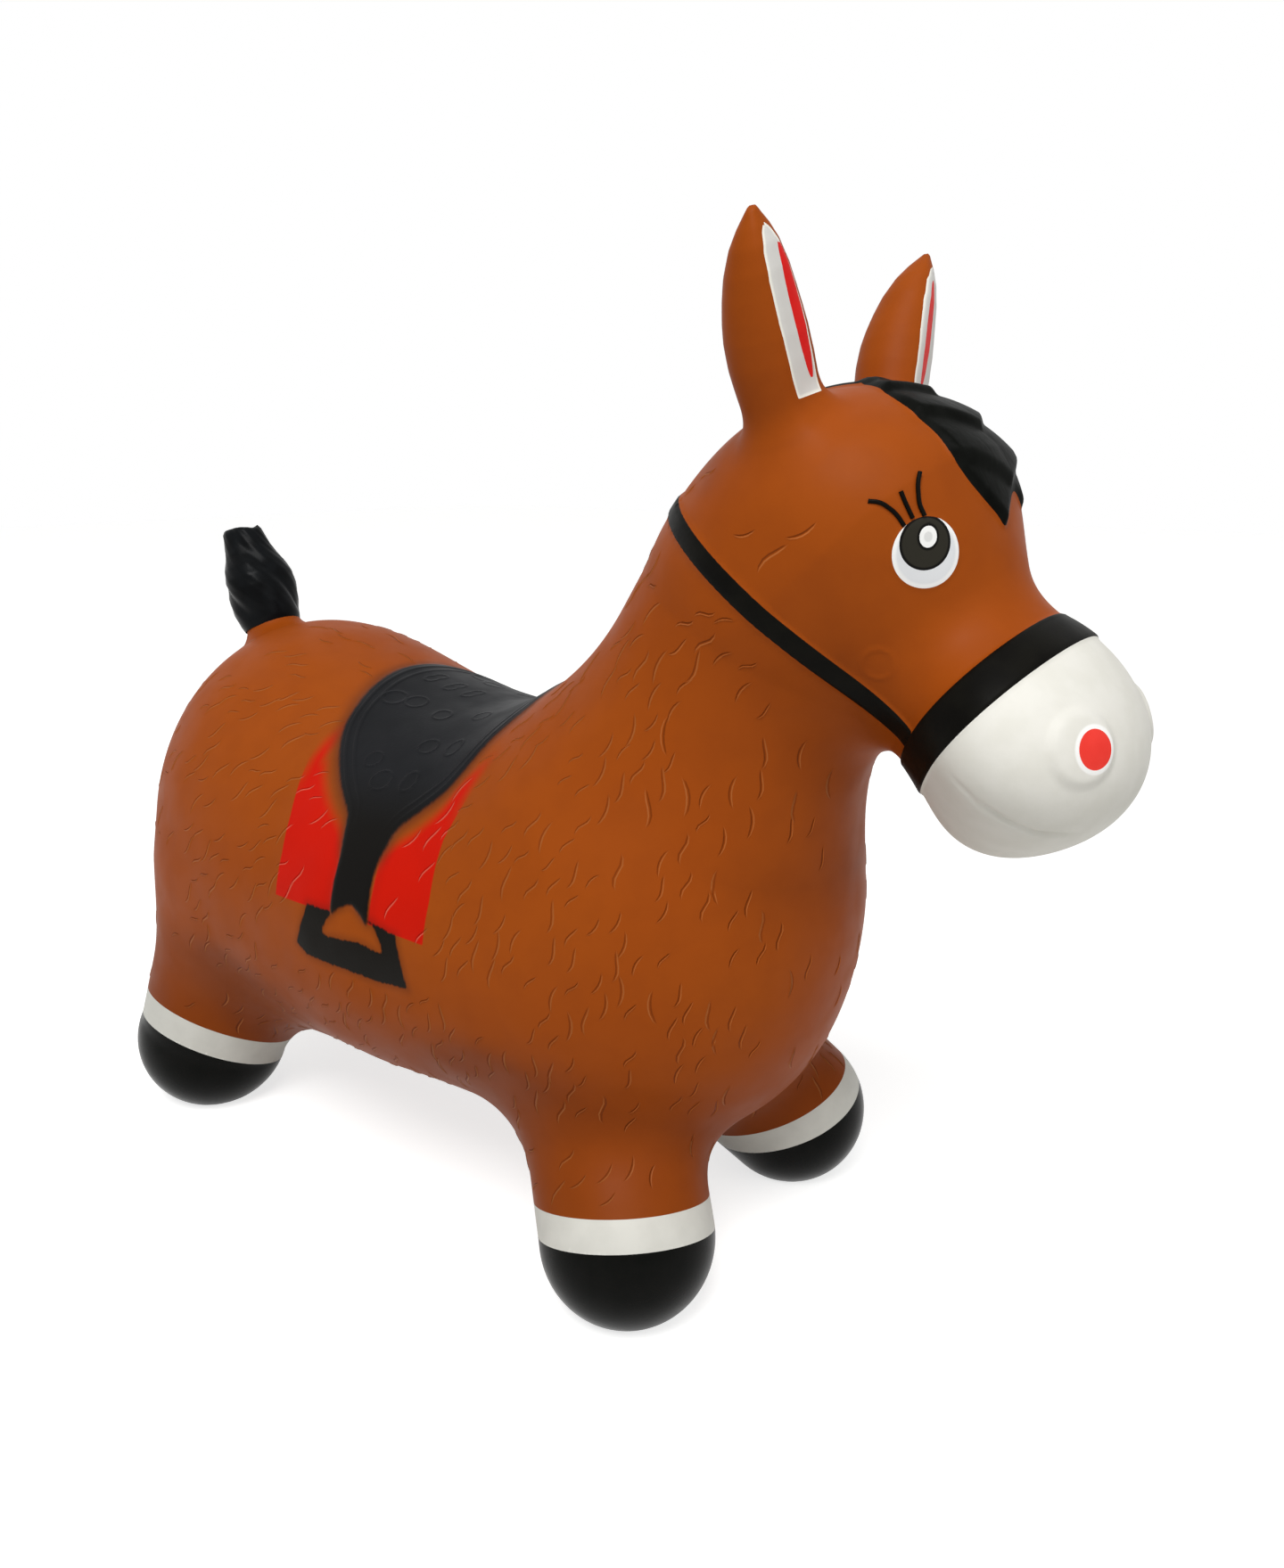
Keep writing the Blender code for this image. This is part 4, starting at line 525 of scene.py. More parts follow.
def hollows(points):
    # painted shade: how far the soft blends fill the joins of legs, ears and head, and more painted shade low down
    # and behind
    zone = eased(0.13 - points[:, 2], 0.022) + eased(points[:, 2] - 0.385, 0.02)
    zone += 0.5 * eased(points[:, 0] - 0.2, 0.02) * eased(0.34 - points[:, 2], 0.03)
    low = 0.0095 * eased(0.115 - points[:, 2], 0.05) + 0.006 * eased(-0.165 - points[:, 0], 0.05)
    return low + zone * (np.minimum.reduce(list(plainForms(points).values())) - skinHeight(points))


def cornerNormals(points, faces):
    # quads or triangles
    crossed = np.cross(points[faces[:, 2]] - points[faces[:, 0]], points[faces[:, -1]] - points[faces[:, 1]])
    total = addedUp(len(points), [(column, crossed) for column in faces.T])
    return total / (np.linalg.norm(total, axis=1, keepdims=True) + 1e-12)


print("marks and relief")
skinMarks = marks(skinPoints)
# painted shade for the coat's colour, in the joins and low down and behind
skinMarks["hollow"] = hollows(skinPoints)
skinMarks["strokeShadeAndHighlight"] = np.zeros(len(skinPoints))
skinShown = raised(skinPoints, skinMarks)
skinNormals = cornerNormals(skinShown, skinFaces)


# Division into pieces

def regions(centres, painted):
    # 0 trunk and legs, 1 neck, 2 head, 3 saddle, 4 and 5 ears, 6 tail root
    x, y, z = centres.T
    found = np.zeros(len(centres), dtype=int)
    start, end = (np.array(place) for place in tapers["neck"][:2])
    found[((centres - start) @ unit(end - start) > 0.024) & (x > 0.02)] = 1
    found[(leaning(centres, neckTop["lean"]) > neckTop["head"]) & (found == 1)] = 2
    found[painted > -0.007] = 3
    ears = (earHeight(centres) < 0.005) & (z > 0.385) & (np.abs(y) > 0.012)
    found[ears] = np.where(y[ears] > 0.0, 4, 5)
    found[(taperedHeight(centres, *tapers["tailRoot"]) < 0.006) & (z > 0.25) & (x < -0.12)] = 6
    return found


def picked(values, faces):
    # a patch that keeps only the points its faces use
    used, places = np.unique(faces, return_inverse=True)
    return {key: data[used] for key, data in values.items()}, places.reshape(faces.shape)


def finer(values, faces):
    # every face in four; a new point lies midway along its edge or face
    count = len(values["plain"])
    sides = np.sort(np.stack((faces, np.roll(faces, -1, 1)), axis=2).reshape(-1, 2), axis=1)
    edges, which, uses = np.unique(sides, axis=0, return_inverse=True, return_counts=True)
    which = which.reshape(-1, 4) + count
    hub = np.arange(len(faces)) + count + len(edges)
    grown = {key: np.concatenate((data, data[edges].mean(axis=1), data[faces].mean(axis=1)))
             for key, data in values.items()}
    border = np.zeros(len(grown["plain"]), dtype=bool)
    border[edges[uses == 1]] = True
    border[count:count + len(edges)] = uses == 1
    return grown, np.concatenate([
        np.stack((faces[:, side], which[:, side], hub, which[:, side - 1]), axis=1) for side in range(4)]), border


def skinPatch(number, fine):
    names = ("plain", "shown", "normal")
    whole = dict(zip(names, (skinPoints, skinShown, skinNormals)), **skinMarks)
    values, faces = picked(whole, skinFaces[region == number])
    if fine:
        values, faces, border = finer({name: values[name] for name in names}, faces)
        points = settled(values["plain"], 2)
        found = marks(points)
        shown = raised(points, found)
        keep = border[:, None]  # the border keeps the straight edges of the plain patch beside it
        values = {"plain": points, "shown": np.where(keep, values["shown"], shown),
                  "normal": np.where(keep, values["normal"], cornerNormals(shown, faces)),
                  **found, "hollow": hollows(points), "strokeShadeAndHighlight": np.zeros(len(points))}
    return values, triangles(faces)


def triangles(faces):
    return np.concatenate((faces[:, (0, 1, 2)], faces[:, (0, 2, 3)]))


def divided(patch, key):
    # the part of a patch inside a mark and the part outside, cut exactly along the mark's edge
    values, faces = patch
    inside = values[key] > 0.0
    count = inside[faces].sum(axis=1)
    whole = {True: [faces[count == 3]], False: [faces[count == 0]]}
    crossed = []
    for alone, number in ((True, 1), (False, 2)):
        some = faces[count == number]
        turn = (np.argmax(inside[some] == alone, axis=1)[:, None] + np.arange(3)) % 3
        crossed.append((alone, np.take_along_axis(some, turn, axis=1)))
    sides = np.concatenate([np.concatenate((rows[:, (0, 1)], rows[:, (0, 2)])) for _, rows in crossed])
    edges, which = np.unique(np.sort(sides, axis=1), axis=0, return_inverse=True)
    which = which.ravel() + len(inside)
    first, second = values[key][edges].T
    share = first / (first - second)
    grown = {}
    for name, data in values.items():
        weight = share.reshape(-1, *(1,) * (data.ndim - 1))
        grown[name] = np.concatenate((data, data[edges[:, 0]] * (1.0 - weight) + data[edges[:, 1]] * weight))
    start = 0
    for alone, rows in crossed:
        near, far = which[start:start + len(rows)], which[start + len(rows):start + 2 * len(rows)]
        start += 2 * len(rows)
        whole[alone].append(np.stack((rows[:, 0], near, far), axis=1))
        whole[not alone].append(triangles(np.stack((near, rows[:, 1], rows[:, 2], far), axis=1)))
    return [picked(grown, np.concatenate(whole[side])) for side in (True, False)]


def taken(patch, *keys):
    # one patch for each mark in turn, and last what is left
    parts = []
    for key in keys:
        part, patch = divided(patch, key)
        parts.append(part)
    return (*parts, patch)


def together(*patches):
    start, faces = 0, []
    for values, corners in patches:
        faces.append(corners + start)
        start += len(values["plain"])
    joint = {key: np.concatenate([values[key] for values, _ in patches]) for key in patches[0][0]}
    return joint, np.concatenate(faces)


def chosen(patch, test):
    # the faces whose centres pass a test
    values, faces = patch
    return picked(values, faces[test(values["plain"][faces].mean(axis=1))])


def makePiece(name, patch, kind, nodes=""):
    # nodes names the CAD nodes it replaces, * for left and right
    values, faces = patch
    finish, slot, attributes = finishes[kind]
    mesh = bpy.data.meshes.new(name)
    mesh.from_pydata((values["shown"] + toOrigin).tolist(), [], faces.tolist())
    for key in attributes:
        marked(mesh, key, values[key])
    mesh.shade_smooth()
    mesh.normals_split_custom_set_from_vertices(values["normal"].tolist())
    mesh.materials.append(finish)
    made = linked(name, mesh)
    nodes = [node.replace("*", side) for node in nodes.split() for side in ("left", "right")[:1 + ("*" in node)]]
    if nodes:
        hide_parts(*nodes)
    print(name, len(faces))
    return made


# Finishes

def colour(text):
    # sRGB hex to linear
    parts = [int(text[i:i + 2], 16) / 255.0 for i in (1, 3, 5)]
    return (*[part / 12.92 if part <= 0.04045 else ((part + 0.055) / 1.055) ** 2.4 for part in parts], 1.0)


def addNode(tree, kind, inputs=None, **settings):
    # each input is a plain value or another node's socket
    node = tree.nodes.new(kind)
    for name, value in settings.items():
        setattr(node, name, value)
    for key, value in (inputs or {}).items():
        if isinstance(value, bpy.types.NodeSocket):
            tree.links.new(value, node.inputs[key])
        else:
            node.inputs[key].default_value = value
    return node


def newFinish(name, specular):
    finish = bpy.data.materials.new(name)
    finish.use_nodes = True
    shader = finish.node_tree.nodes["Principled BSDF"]
    shader.inputs["Specular IOR Level"].default_value = specular
    return finish, finish.node_tree, shader


def noise(tree, millimetres, detail=2.0, stretch=None):
    # noise whose waves are about that long, drawn out by a turn and a scale
    place = addNode(tree, "ShaderNodeTexCoord").outputs["Object"]
    if stretch:
        place = addNode(tree, "ShaderNodeMapping", {
            "Vector": place, "Rotation": stretch[0], "Scale": stretch[1]}).outputs["Vector"]
    return addNode(tree, "ShaderNodeTexNoise", {
        "Vector": place, "Scale": 1000.0 / millimetres, "Detail": detail}).outputs["Fac"]


def ranged(tree, value, low, high, start=0.0, end=1.0):
    return addNode(tree, "ShaderNodeMapRange", {
        "Value": value, "From Min": low, "From Max": high, "To Min": start, "To Max": end},
        interpolation_type="SMOOTHSTEP").outputs["Result"]


def maths(tree, operation, first, second=0.0):
    return addNode(tree, "ShaderNodeMath", {0: first, 1: second}, operation=operation).outputs["Value"]


def reading(tree, name):
    return addNode(tree, "ShaderNodeAttribute", attribute_name=name).outputs["Fac"]


def mask(tree, name, soft, shift=0.0, ragged=None):
    # 0 outside the mark, 1 inside, over a soft or ragged edge
    value = reading(tree, name)
    if ragged:
        wave = maths(tree, "SUBTRACT", noise(tree, 1.6, stretch=upright), 0.5)
        value = maths(tree, "ADD", value, maths(tree, "MULTIPLY", wave, ragged))
    return ranged(tree, value, shift - soft, shift + soft)


def mixed(tree, amount, first, second):
    # the two are hex paints or sockets
    first, second = (colour(item) if isinstance(item, str) else item for item in (first, second))
    return addNode(tree, "ShaderNodeMix", {0: amount, 6: first, 7: second}, data_type="RGBA").outputs[2]


# shade is painted shade for the joins and low parts; groove and lip are painted shade and painted highlight for the
# hair strokes
vinyl = {
    "brown": ("#914009", "#9e4b10"), "shade": "#5a260a", "roughness": (0.46, 0.56), "specular": 0.07,
    "grain": 1.3, "grainDepth": 0.00003, "groove": "#4a1c05", "lip": "#cf8a52"}
upright = ((0.0, 0.5, 0.0), (1.0, 1.0, 0.22))  # noise drawn out along the coat's fall


def pressed(tree, shade, groove, lip, paintedHighlightShare=0.55):
    # painted shade down in a hair stroke and a painted highlight along its lip
    strokeShadeAndHighlight = reading(tree, "strokeShadeAndHighlight")
    shade = mixed(tree, ranged(tree, strokeShadeAndHighlight, 0.0, 1.0, 0.0, 0.55), shade, groove)
    return mixed(tree, ranged(tree, strokeShadeAndHighlight, 0.0, -1.0, 0.0, paintedHighlightShare), shade, lip)


def brownCoat(tree):
    # soft PVC moulding, with painted shade making it darker where limbs join and low down
    shade = mixed(tree, noise(tree, 90.0), *vinyl["brown"])
    shade = mixed(tree, ranged(tree, noise(tree, 14.0, 3.0), 0.35, 0.75, 0.0, 0.16), shade, "#7c360c")
    # painted shade in the joins and low down and behind
    shade = mixed(tree, ranged(tree, reading(tree, "hollow"), 0.0015, 0.0125, 0.0, 0.45), shade, vinyl["shade"])
    return pressed(tree, shade, vinyl["groove"], vinyl["lip"])


def grained(tree, shader, low, high, extra=0.0, depth=vinyl["grainDepth"]):
    # the faint orange peel of slush-moulded vinyl, a millimetre or so across, drawn coarse enough to show
    tree.links.new(ranged(tree, noise(tree, 25.0, 3.0), 0.3, 0.7, low, high), shader.inputs["Roughness"])
    height = maths(tree, "ADD", maths(tree, "MULTIPLY", noise(tree, vinyl["grain"]), depth), extra)
    bump = addNode(tree, "ShaderNodeBump", {"Distance": 1.0, "Height": height})
    tree.links.new(bump.outputs["Normal"], shader.inputs["Normal"])


def brownVinyl():
    finish, tree, shader = newFinish("sprayed brown PVC moulding", vinyl["specular"])
    tree.links.new(brownCoat(tree), shader.inputs["Base Color"])
    grained(tree, shader, *vinyl["roughness"])
    return finish


def saddleVinyl():
    # red cloth with a crisp masked edge, freehand charcoal saddle and blacker stirrup leather over the brown
    finish, tree, shader = newFinish("charcoal and red spray on PVC moulding", vinyl["specular"])
    place = addNode(tree, "ShaderNodeTexCoord").outputs["Object"]
    height = addNode(tree, "ShaderNodeSeparateXYZ", {0: place}).outputs["Z"]
    brown = brownCoat(tree)
    # the red cloth's hair strokes get painted shade and a painted highlight too
    red = pressed(tree, mixed(tree, noise(tree, 30.0), "#b81202", "#ca1703"), "#6a0a02", "#ff9a80", 0.7)
    crisp, soft = mask(tree, "cloth", 0.00035), mask(tree, "cloth", 0.0045, 0.002)
    edge = mixed(tree, ranged(tree, height, 0.222, 0.244), crisp, soft)  # masked low down, freehand above
    edge = maths(tree, "MULTIPLY", edge, ranged(tree, height, 0.262, 0.24))  # and fading out under the seat
    shade = mixed(tree, edge, brown, red)
    lobe = ranged(tree, height, 0.197, 0.212)  # only the lobes were sprayed freehand
    bare = mixed(tree, lobe, mask(tree, "bare", 0.0006), mask(tree, "bare", 0.004))
    shade = mixed(tree, bare, shade, brown)
    mist = maths(tree, "MULTIPLY", mask(tree, "saddle", 0.0062, -0.0015), ranged(tree, lobe, 0.0, 1.0, 0.25, 0.9))
    shade = mixed(tree, mist, shade, "#2a1e16")
    leather = ranged(tree, height, saddle["leatherTop"] + 0.014, saddle["leatherTop"] - 0.012)
    charcoal = mixed(tree, leather, mixed(tree, noise(tree, 22.0, 4.0), "#0f1012", "#17181b"), "#0a0806")
    for amount, paint in (
            (mask(tree, "saddle", 0.001, ragged=0.0012), charcoal),
            (maths(tree, "MULTIPLY", mask(tree, "stirrup", 0.004, -0.001), 0.5), "#20170f"),
            (mask(tree, "stirrup", 0.0006, ragged=0.0022), "#0e0b07")):
        shade = mixed(tree, amount, shade, paint)
    tree.links.new(shade, shader.inputs["Base Color"])
    inside = reading(tree, "saddle")
    rings = ranged(tree, reading(tree, "ring"), -0.001, -0.0002)
    lines = maths(tree, "MULTIPLY", rings, ranged(tree, inside, 0.002, 0.006))
    for inset in saddle["border"]:
        gap = maths(tree, "ABSOLUTE", maths(tree, "SUBTRACT", inside, inset))
        lines = maths(tree, "ADD", lines, ranged(tree, gap, 0.0011, 0.0002))
    lines = maths(tree, "MULTIPLY", lines, maths(tree, "SUBTRACT", 1.0, leather))
    grained(tree, shader, 0.44, 0.56, maths(tree, "MULTIPLY", lines, 0.00025), 0.00006)
    return finish


def sprayed(name, low, high, roughness, specular, slot, inner=None, hair=None):
    # one spray paint over the vinyl: two close tones, and a second paint along a mark
    finish, tree, shader = newFinish(name, specular)
    shade = mixed(tree, ranged(tree, noise(tree, 12.0, 4.0), 0.3, 0.7), low, high)
    if inner:
        mark, start, end, paint = inner
        shade = mixed(tree, ranged(tree, reading(tree, mark), start, end), shade, paint)
    tree.links.new(shade, shader.inputs["Base Color"])
    extra = maths(tree, "MULTIPLY", noise(tree, 5.0, 2.0, hair), 0.00025) if hair else 0.0
    grained(tree, shader, *roughness, extra)
    return finish, slot, inner[:1] if inner else ()


print("finishes")
finishes = {  # material, slot and the marks that its nodes read
    "brown": (brownVinyl(), "brown_vinyl", ("hollow", "strokeShadeAndHighlight")),
    "saddle": (saddleVinyl(), "charcoal_paint", ("hollow", "strokeShadeAndHighlight", "cloth", "bare", "saddle", "stirrup", "ring"))}
for kind, *sizes in (
        ("muzzle", "warm white spray on PVC", "#dedcd3", "#e3e1d9", (0.5, 0.6), 0.15, "white_paint",
         ("dot", -0.0021, -0.0012, "#f6f5f2")),
        ("white", "white spray on PVC", "#cfcec6", "#d5d4cc", (0.45, 0.55), 0.15, "white_paint"),
        ("leaf", "white ear lining spray", "#f1efe4", "#f1efe4", (0.5, 0.6), 0.15, "white_paint",
         ("leaf", 0.0004, 0.0016, "#d8d6d1")),
        ("eyeWhite", "white eye spray", "#f0f0ee", "#f4f4f2", (0.3, 0.4), 0.15, "white_paint",
         ("white", 0.0008, 0.0022, "#dcdee0")),
        ("pupil", "dark eye spray", "#060503", "#060503", (0.3, 0.4), 0.08, "black_paint",
         ("iris", 0.0007, 0.0013, "#2a2821")),
        ("spark", "eye highlight spray", "#f4f4f2", "#f4f4f2", (0.3, 0.4), 0.15, "white_paint",
         ("spark", 0.0017, 0.0024, "#dcdcda")),
        ("red", "bright red spray on PVC", "#d81410", "#e01c16", (0.4, 0.5), 0.12, "red_paint"),
        ("dot", "bright red nostril spray", "#e8382e", "#ee4036", (0.4, 0.5), 0.12, "red_paint"),
        ("black", "black bridle spray", "#080705", "#0f0e0a", (0.38, 0.5), 0.04, "black_paint"),
        ("hair", "black hair spray on PVC", "#080907", "#121311", (0.4, 0.5), 0.02, "black_vinyl",
         None, ((0.3, 0.2, 0.0), (1.0, 1.0, 0.3))),
        ("tail", "black tail spray on PVC", "#08090a", "#101214", (0.24, 0.34), 0.05, "black_vinyl"),
        ("hoof", "glossy black hoof spray", "#060705", "#0c0c0a", (0.24, 0.34), 0.05, "black_paint")):
    finishes[kind] = sprayed(*sizes)


# Hair strokes pressed into the coat

strokes = {
    "spacing": 0.0098, "length": 0.0166, "halfWidth": 0.00108, "depth": 0.00055, "lip": 0.00036, "swing": 0.38,
    "seed": 11, "rows": 7, "columns": 5,
    "fall": ((-0.2, 0.86), (-0.06, 0.72), (0.04, 0.45), (0.2, 0.3)),  # x, then how far back
    "bends": ((0.0024, 0.0), (-0.0024, 0.0), (0.0017, 0.0006), (-0.0017, -0.0006), (0.0003, 0.0013))}


def gridFaces(rows, columns, closed=False):
    # quads over rows of points; a closed grid joins each row's ends
    number = np.arange(rows * columns).reshape(rows, columns)
    if closed:
        number = np.concatenate((number, number[:, :1]), axis=1)
    return np.stack((number[:-1, :-1], number[:-1, 1:], number[1:, 1:], number[1:, :-1]), axis=2).reshape(-1, 4)


def strokeGrid():
    return np.meshgrid(*(np.linspace(-1.0, 1.0, strokes[key]) for key in ("rows", "columns")), indexing="ij")


def strokePieces():
    # flat slivers along C and S curves, copied over the skin by Geometry Nodes
    home = bpy.data.collections.new("strokes")
    u, v = strokeGrid()
    for bend, swirl in strokes["bends"]:
        middle = bend * (1.0 - u * u) + swirl * np.sin(math.pi * u)
        width = strokes["halfWidth"] * (1.0 - 0.85 * np.abs(u) ** 3)
        places = np.stack((middle + width * v, u * strokes["length"] / 2.0, u * 0.0), axis=2).reshape(-1, 3)
        mesh = bpy.data.meshes.new("stroke")
        mesh.from_pydata(places.tolist(), [], gridFaces(*u.shape).tolist())
        home.objects.link(bpy.data.objects.new("stroke", mesh))
    return home


def newTree(name, inputs):
    # a Geometry Nodes tree and its input sockets
    tree = bpy.data.node_groups.new(name, "GeometryNodeTree")
    for key, kind in inputs.items():
        tree.interface.new_socket(key, in_out="INPUT", socket_type="NodeSocket" + kind)
    tree.interface.new_socket("Result", in_out="OUTPUT", socket_type="NodeSocketGeometry")
    return tree, addNode(tree, "NodeGroupInput").outputs


def scatterTree():
    tree, given = newTree("hair strokes", {
        "Skin": "Geometry", "Strokes": "Collection", "Spacing": "Float", "Swing": "Float", "Seed": "Int"})
    seed = {"Seed": given["Seed"]}
    room = addNode(tree, "GeometryNodeInputNamedAttribute", {"Name": "room"}, data_type="FLOAT").outputs[0]
    fall = addNode(tree, "GeometryNodeInputNamedAttribute", {"Name": "fall"}, data_type="FLOAT_VECTOR").outputs[0]
    spread = addNode(tree, "GeometryNodeDistributePointsOnFaces", {
        "Mesh": given["Skin"], "Distance Min": given["Spacing"], "Density Max": 60000.0, "Density Factor": room,
        **seed}, distribute_method="POISSON")
    upward = addNode(tree, "FunctionNodeAlignRotationToVector", {"Vector": spread.outputs["Normal"]}, axis="Z")
    along = addNode(tree, "FunctionNodeAlignRotationToVector", {"Rotation": upward.outputs[0], "Vector": fall},
                    axis="Y", pivot_axis="Z")
    back = maths(tree, "MULTIPLY", given["Swing"], -1.0)
    angle = addNode(tree, "FunctionNodeRandomValue", {2: back, 3: given["Swing"], **seed}).outputs[1]
    turn = addNode(tree, "FunctionNodeAxisAngleToRotation", {"Axis": (0.0, 0.0, 1.0), "Angle": angle}).outputs[0]
    turned = addNode(tree, "FunctionNodeRotateRotation", {0: along.outputs[0], 1: turn}, rotation_space="LOCAL")
    size = addNode(tree, "FunctionNodeRandomValue", {2: 0.6, 3: 1.15, **seed}).outputs[1]
    which = addNode(tree, "FunctionNodeRandomValue", {4: 0, 5: len(strokes["bends"]) - 1, **seed},
                    data_type="INT").outputs[2]
    shapes = addNode(tree, "GeometryNodeCollectionInfo", {
        "Collection": given["Strokes"], "Separate Children": True, "Reset Children": True})
    copies = addNode(tree, "GeometryNodeInstanceOnPoints", {
        "Points": spread.outputs["Points"], "Instance": shapes.outputs[0], "Pick Instance": True,
        "Instance Index": which, "Rotation": turned.outputs[0], "Scale": size})
    real = addNode(tree, "GeometryNodeRealizeInstances", {"Geometry": copies.outputs[0]})
    addNode(tree, "NodeGroupOutput", {0: real.outputs[0]})
    return tree


def grown(made, tree, inputs):
    # the plain mesh that a Geometry Nodes tree makes of an object
    modifier = made.modifiers.new(tree.name, "NODES")
    modifier.node_group = tree
    for item in tree.interface.items_tree:
        if item.in_out == "INPUT" and item.name in inputs:
            modifier[item.identifier] = inputs[item.name]
    return meshOf(made)


def coatRoom(points, found):
    # where the coat carries strokes: all but the paint of head and feet, thin on rump, brow, belly and legs
    x, y, z = points.T
    waves = np.sin(x * 95.0 + 2.0 * np.sin(z * 60.0)) + np.sin(z * 120.0 + y * 70.0)
    room = np.interp(waves, (-1.5, -0.5, 0.6), (0.12, 0.45, 1.0))
    room[x < -0.12] *= 0.45
    room[np.abs(y) < 0.045] *= 0.3
    onHead = leaning(points, neckTop["lean"]) > neckTop["bridle"]
    room[onHead] = np.where((x < 0.245) & (z < 0.372), 0.45, 0.0)[onHead]
    painted = "saddle stirrup noseband muzzle strap forelock mane white band hoof nostril".split()
    barred = np.max([found[key] for key in painted], axis=0)
    nearTail = taperedHeight(points, *tapers["tailRoot"]) < 0.012
    room[(barred > -0.007) | (found["cheek"] > -0.009) | (z > 0.395) | nearTail] = 0.0
    return room


def strokePatch():
    ground = bpy.data.meshes.new("ground")
    ground.from_pydata(skinPoints.tolist(), [], skinFaces.tolist())
    marked(ground, "room", coatRoom(skinPoints, skinMarks))
    back = profile(skinPoints[:, 0], strokes["fall"])
    back += (0.92 - back) * eased(skinPoints[:, 2] - 0.31, 0.03)
    marked(ground, "fall", np.stack((-back, back * 0.0, -np.sqrt(1.0 - back ** 2)), axis=1))
    home = strokePieces()
    points, faces = meshArrays(grown(linked("ground", ground), scatterTree(), {
        "Strokes": home, "Spacing": strokes["spacing"], "Swing": strokes["swing"], "Seed": strokes["seed"]}))
    for sliver in list(home.objects):
        bpy.data.objects.remove(sliver, do_unlink=True)
    bpy.data.collections.remove(home)
    points = settled(points, 3)
    u, v = strokeGrid()
    blocks = points.reshape(-1, *u.shape, 3)
    across = blocks[:, :, -1] - blocks[:, :, 0]
    width = np.linalg.norm(across, axis=2, keepdims=True)
    across = np.repeat(across / width, u.shape[1], axis=1).reshape(-1, 3)
    width = np.repeat(width / 2.0, u.shape[1], axis=1).ravel()
    u, v = (np.tile(grid.ravel(), len(blocks)) for grid in (u, v))
    away = outward(points)
    slope = strokes["depth"] * (1.0 - u ** 4) * 4.0 * v * (1.0 - v * v) / width
    normal = away - across * slope[:, None]
    above = v * np.sign(across[:, 2])  # painted shade on the upper wall and a painted highlight on the lower lip
    found = marks(points)
    # painted shade above each stroke's middle and a painted highlight on its lower lip
    found["strokeShadeAndHighlight"] = (1.0 - u ** 6) * (
        np.exp(-((above - 0.3) / 0.35) ** 2) - np.exp(-((above + 0.65) / 0.25) ** 2))
    lip = strokes["lip"] * np.exp(-((above + 0.45) / 0.35) ** 2) * (1.0 - above ** 6)
    lift = relief(points, found) + (lip + 0.00008 * (1.0 - v * v)) * (1.0 - u ** 6) - 0.00002
    print("hair strokes", len(blocks))
    return {"plain": points, "shown": points + away * lift[:, None], "normal": normal, **found,
            "hollow": hollows(points)}, triangles(faces)


def byStroke(patch, test):
    # whole strokes chosen by their middles
    values, faces = patch
    block = strokes["rows"] * strokes["columns"]
    keep = test({key: data[block // 2::block] for key, data in values.items()})
    return [picked(values, faces[side[faces[:, 0] // block]]) for side in (keep, ~keep)]


print("pieces")
region = regions(skinPoints[skinFaces].mean(axis=1), np.maximum.reduce(
    [skinMarks[key][skinFaces].mean(axis=1) for key in ("saddle", "cloth", "stirrup")]))
coat = strokePatch()
onSaddle, coat = byStroke(coat, lambda at: np.maximum(at["cloth"], at["stirrup"]) > -0.006)
onLegs, coat = byStroke(coat, lambda at: at["leg"] > 0.004)
coat = byStroke(coat, lambda at: at["leg"] < -0.007)[0]
legs, trunk = divided(skinPatch(0, False), "leg")
neckStrap, neckMane, neck = taken(skinPatch(1, False), "strap", "mane")
noseband, muzzle, headStrap, lock, headMane, eyes, head = taken(
    skinPatch(2, True), "noseband", "muzzle", "strap", "forelock", "mane", "white")
dots, muzzle = divided(muzzle, "dot")
pupils, whites = divided(eyes, "pupil")
sparks, pupils = divided(pupils, "spark")
pieces = [makePiece(*sizes) for sizes in (
    ("trunkSkin", trunk, "brown", "trunk_skin"),
    ("coatStrokes", coat, "brown"),
    ("saddleSkin", together(skinPatch(3, True), onSaddle), "saddle",
     "saddle saddle_cloth_front_* saddle_cloth_rear_* stirrup_*"),
    ("neckSkin", neck, "brown", "neck_skin"),
    ("headSkin", head, "brown", "head_skin"),
    ("muzzleSkin", muzzle, "muzzle", "muzzle_skin nostril_*"),
    ("nostrilDots", dots, "dot", "nostril_dot_*"),
    ("noseband", noseband, "black", "noseband"),
    ("cheekStrap", together(neckStrap, headStrap), "black", "cheek_strap"),
    ("forelock", lock, "hair", "forelock"),
    ("mane", together(neckMane, headMane), "hair", "mane"),
    ("eyeWhites", whites, "eyeWhite", "eye_white_*"),
    ("pupils", pupils, "pupil", "pupil_*"),
    ("eyeSparks", sparks, "spark", "eye_spark_*"))]


# Limbs: hooves and ankle bands ride their feet, the tail tuft rides the tail

def toFrame(point):
    return tuple(np.array(point) + toOrigin)


def bendFrom(patch, root, axis):
    # the place along an axis that the whole open border of a patch stays behind, where its bend may start
    values, faces = patch
    edges = np.sort(np.concatenate((faces[:, (0, 1)], faces[:, (1, 2)], faces[:, (2, 0)])), axis=1)
    edges, uses = np.unique(edges, axis=0, return_counts=True)
    reach = ((values["plain"][edges[uses == 1]] - root) @ axis).max()
    return root + axis * (reach + 0.0003)


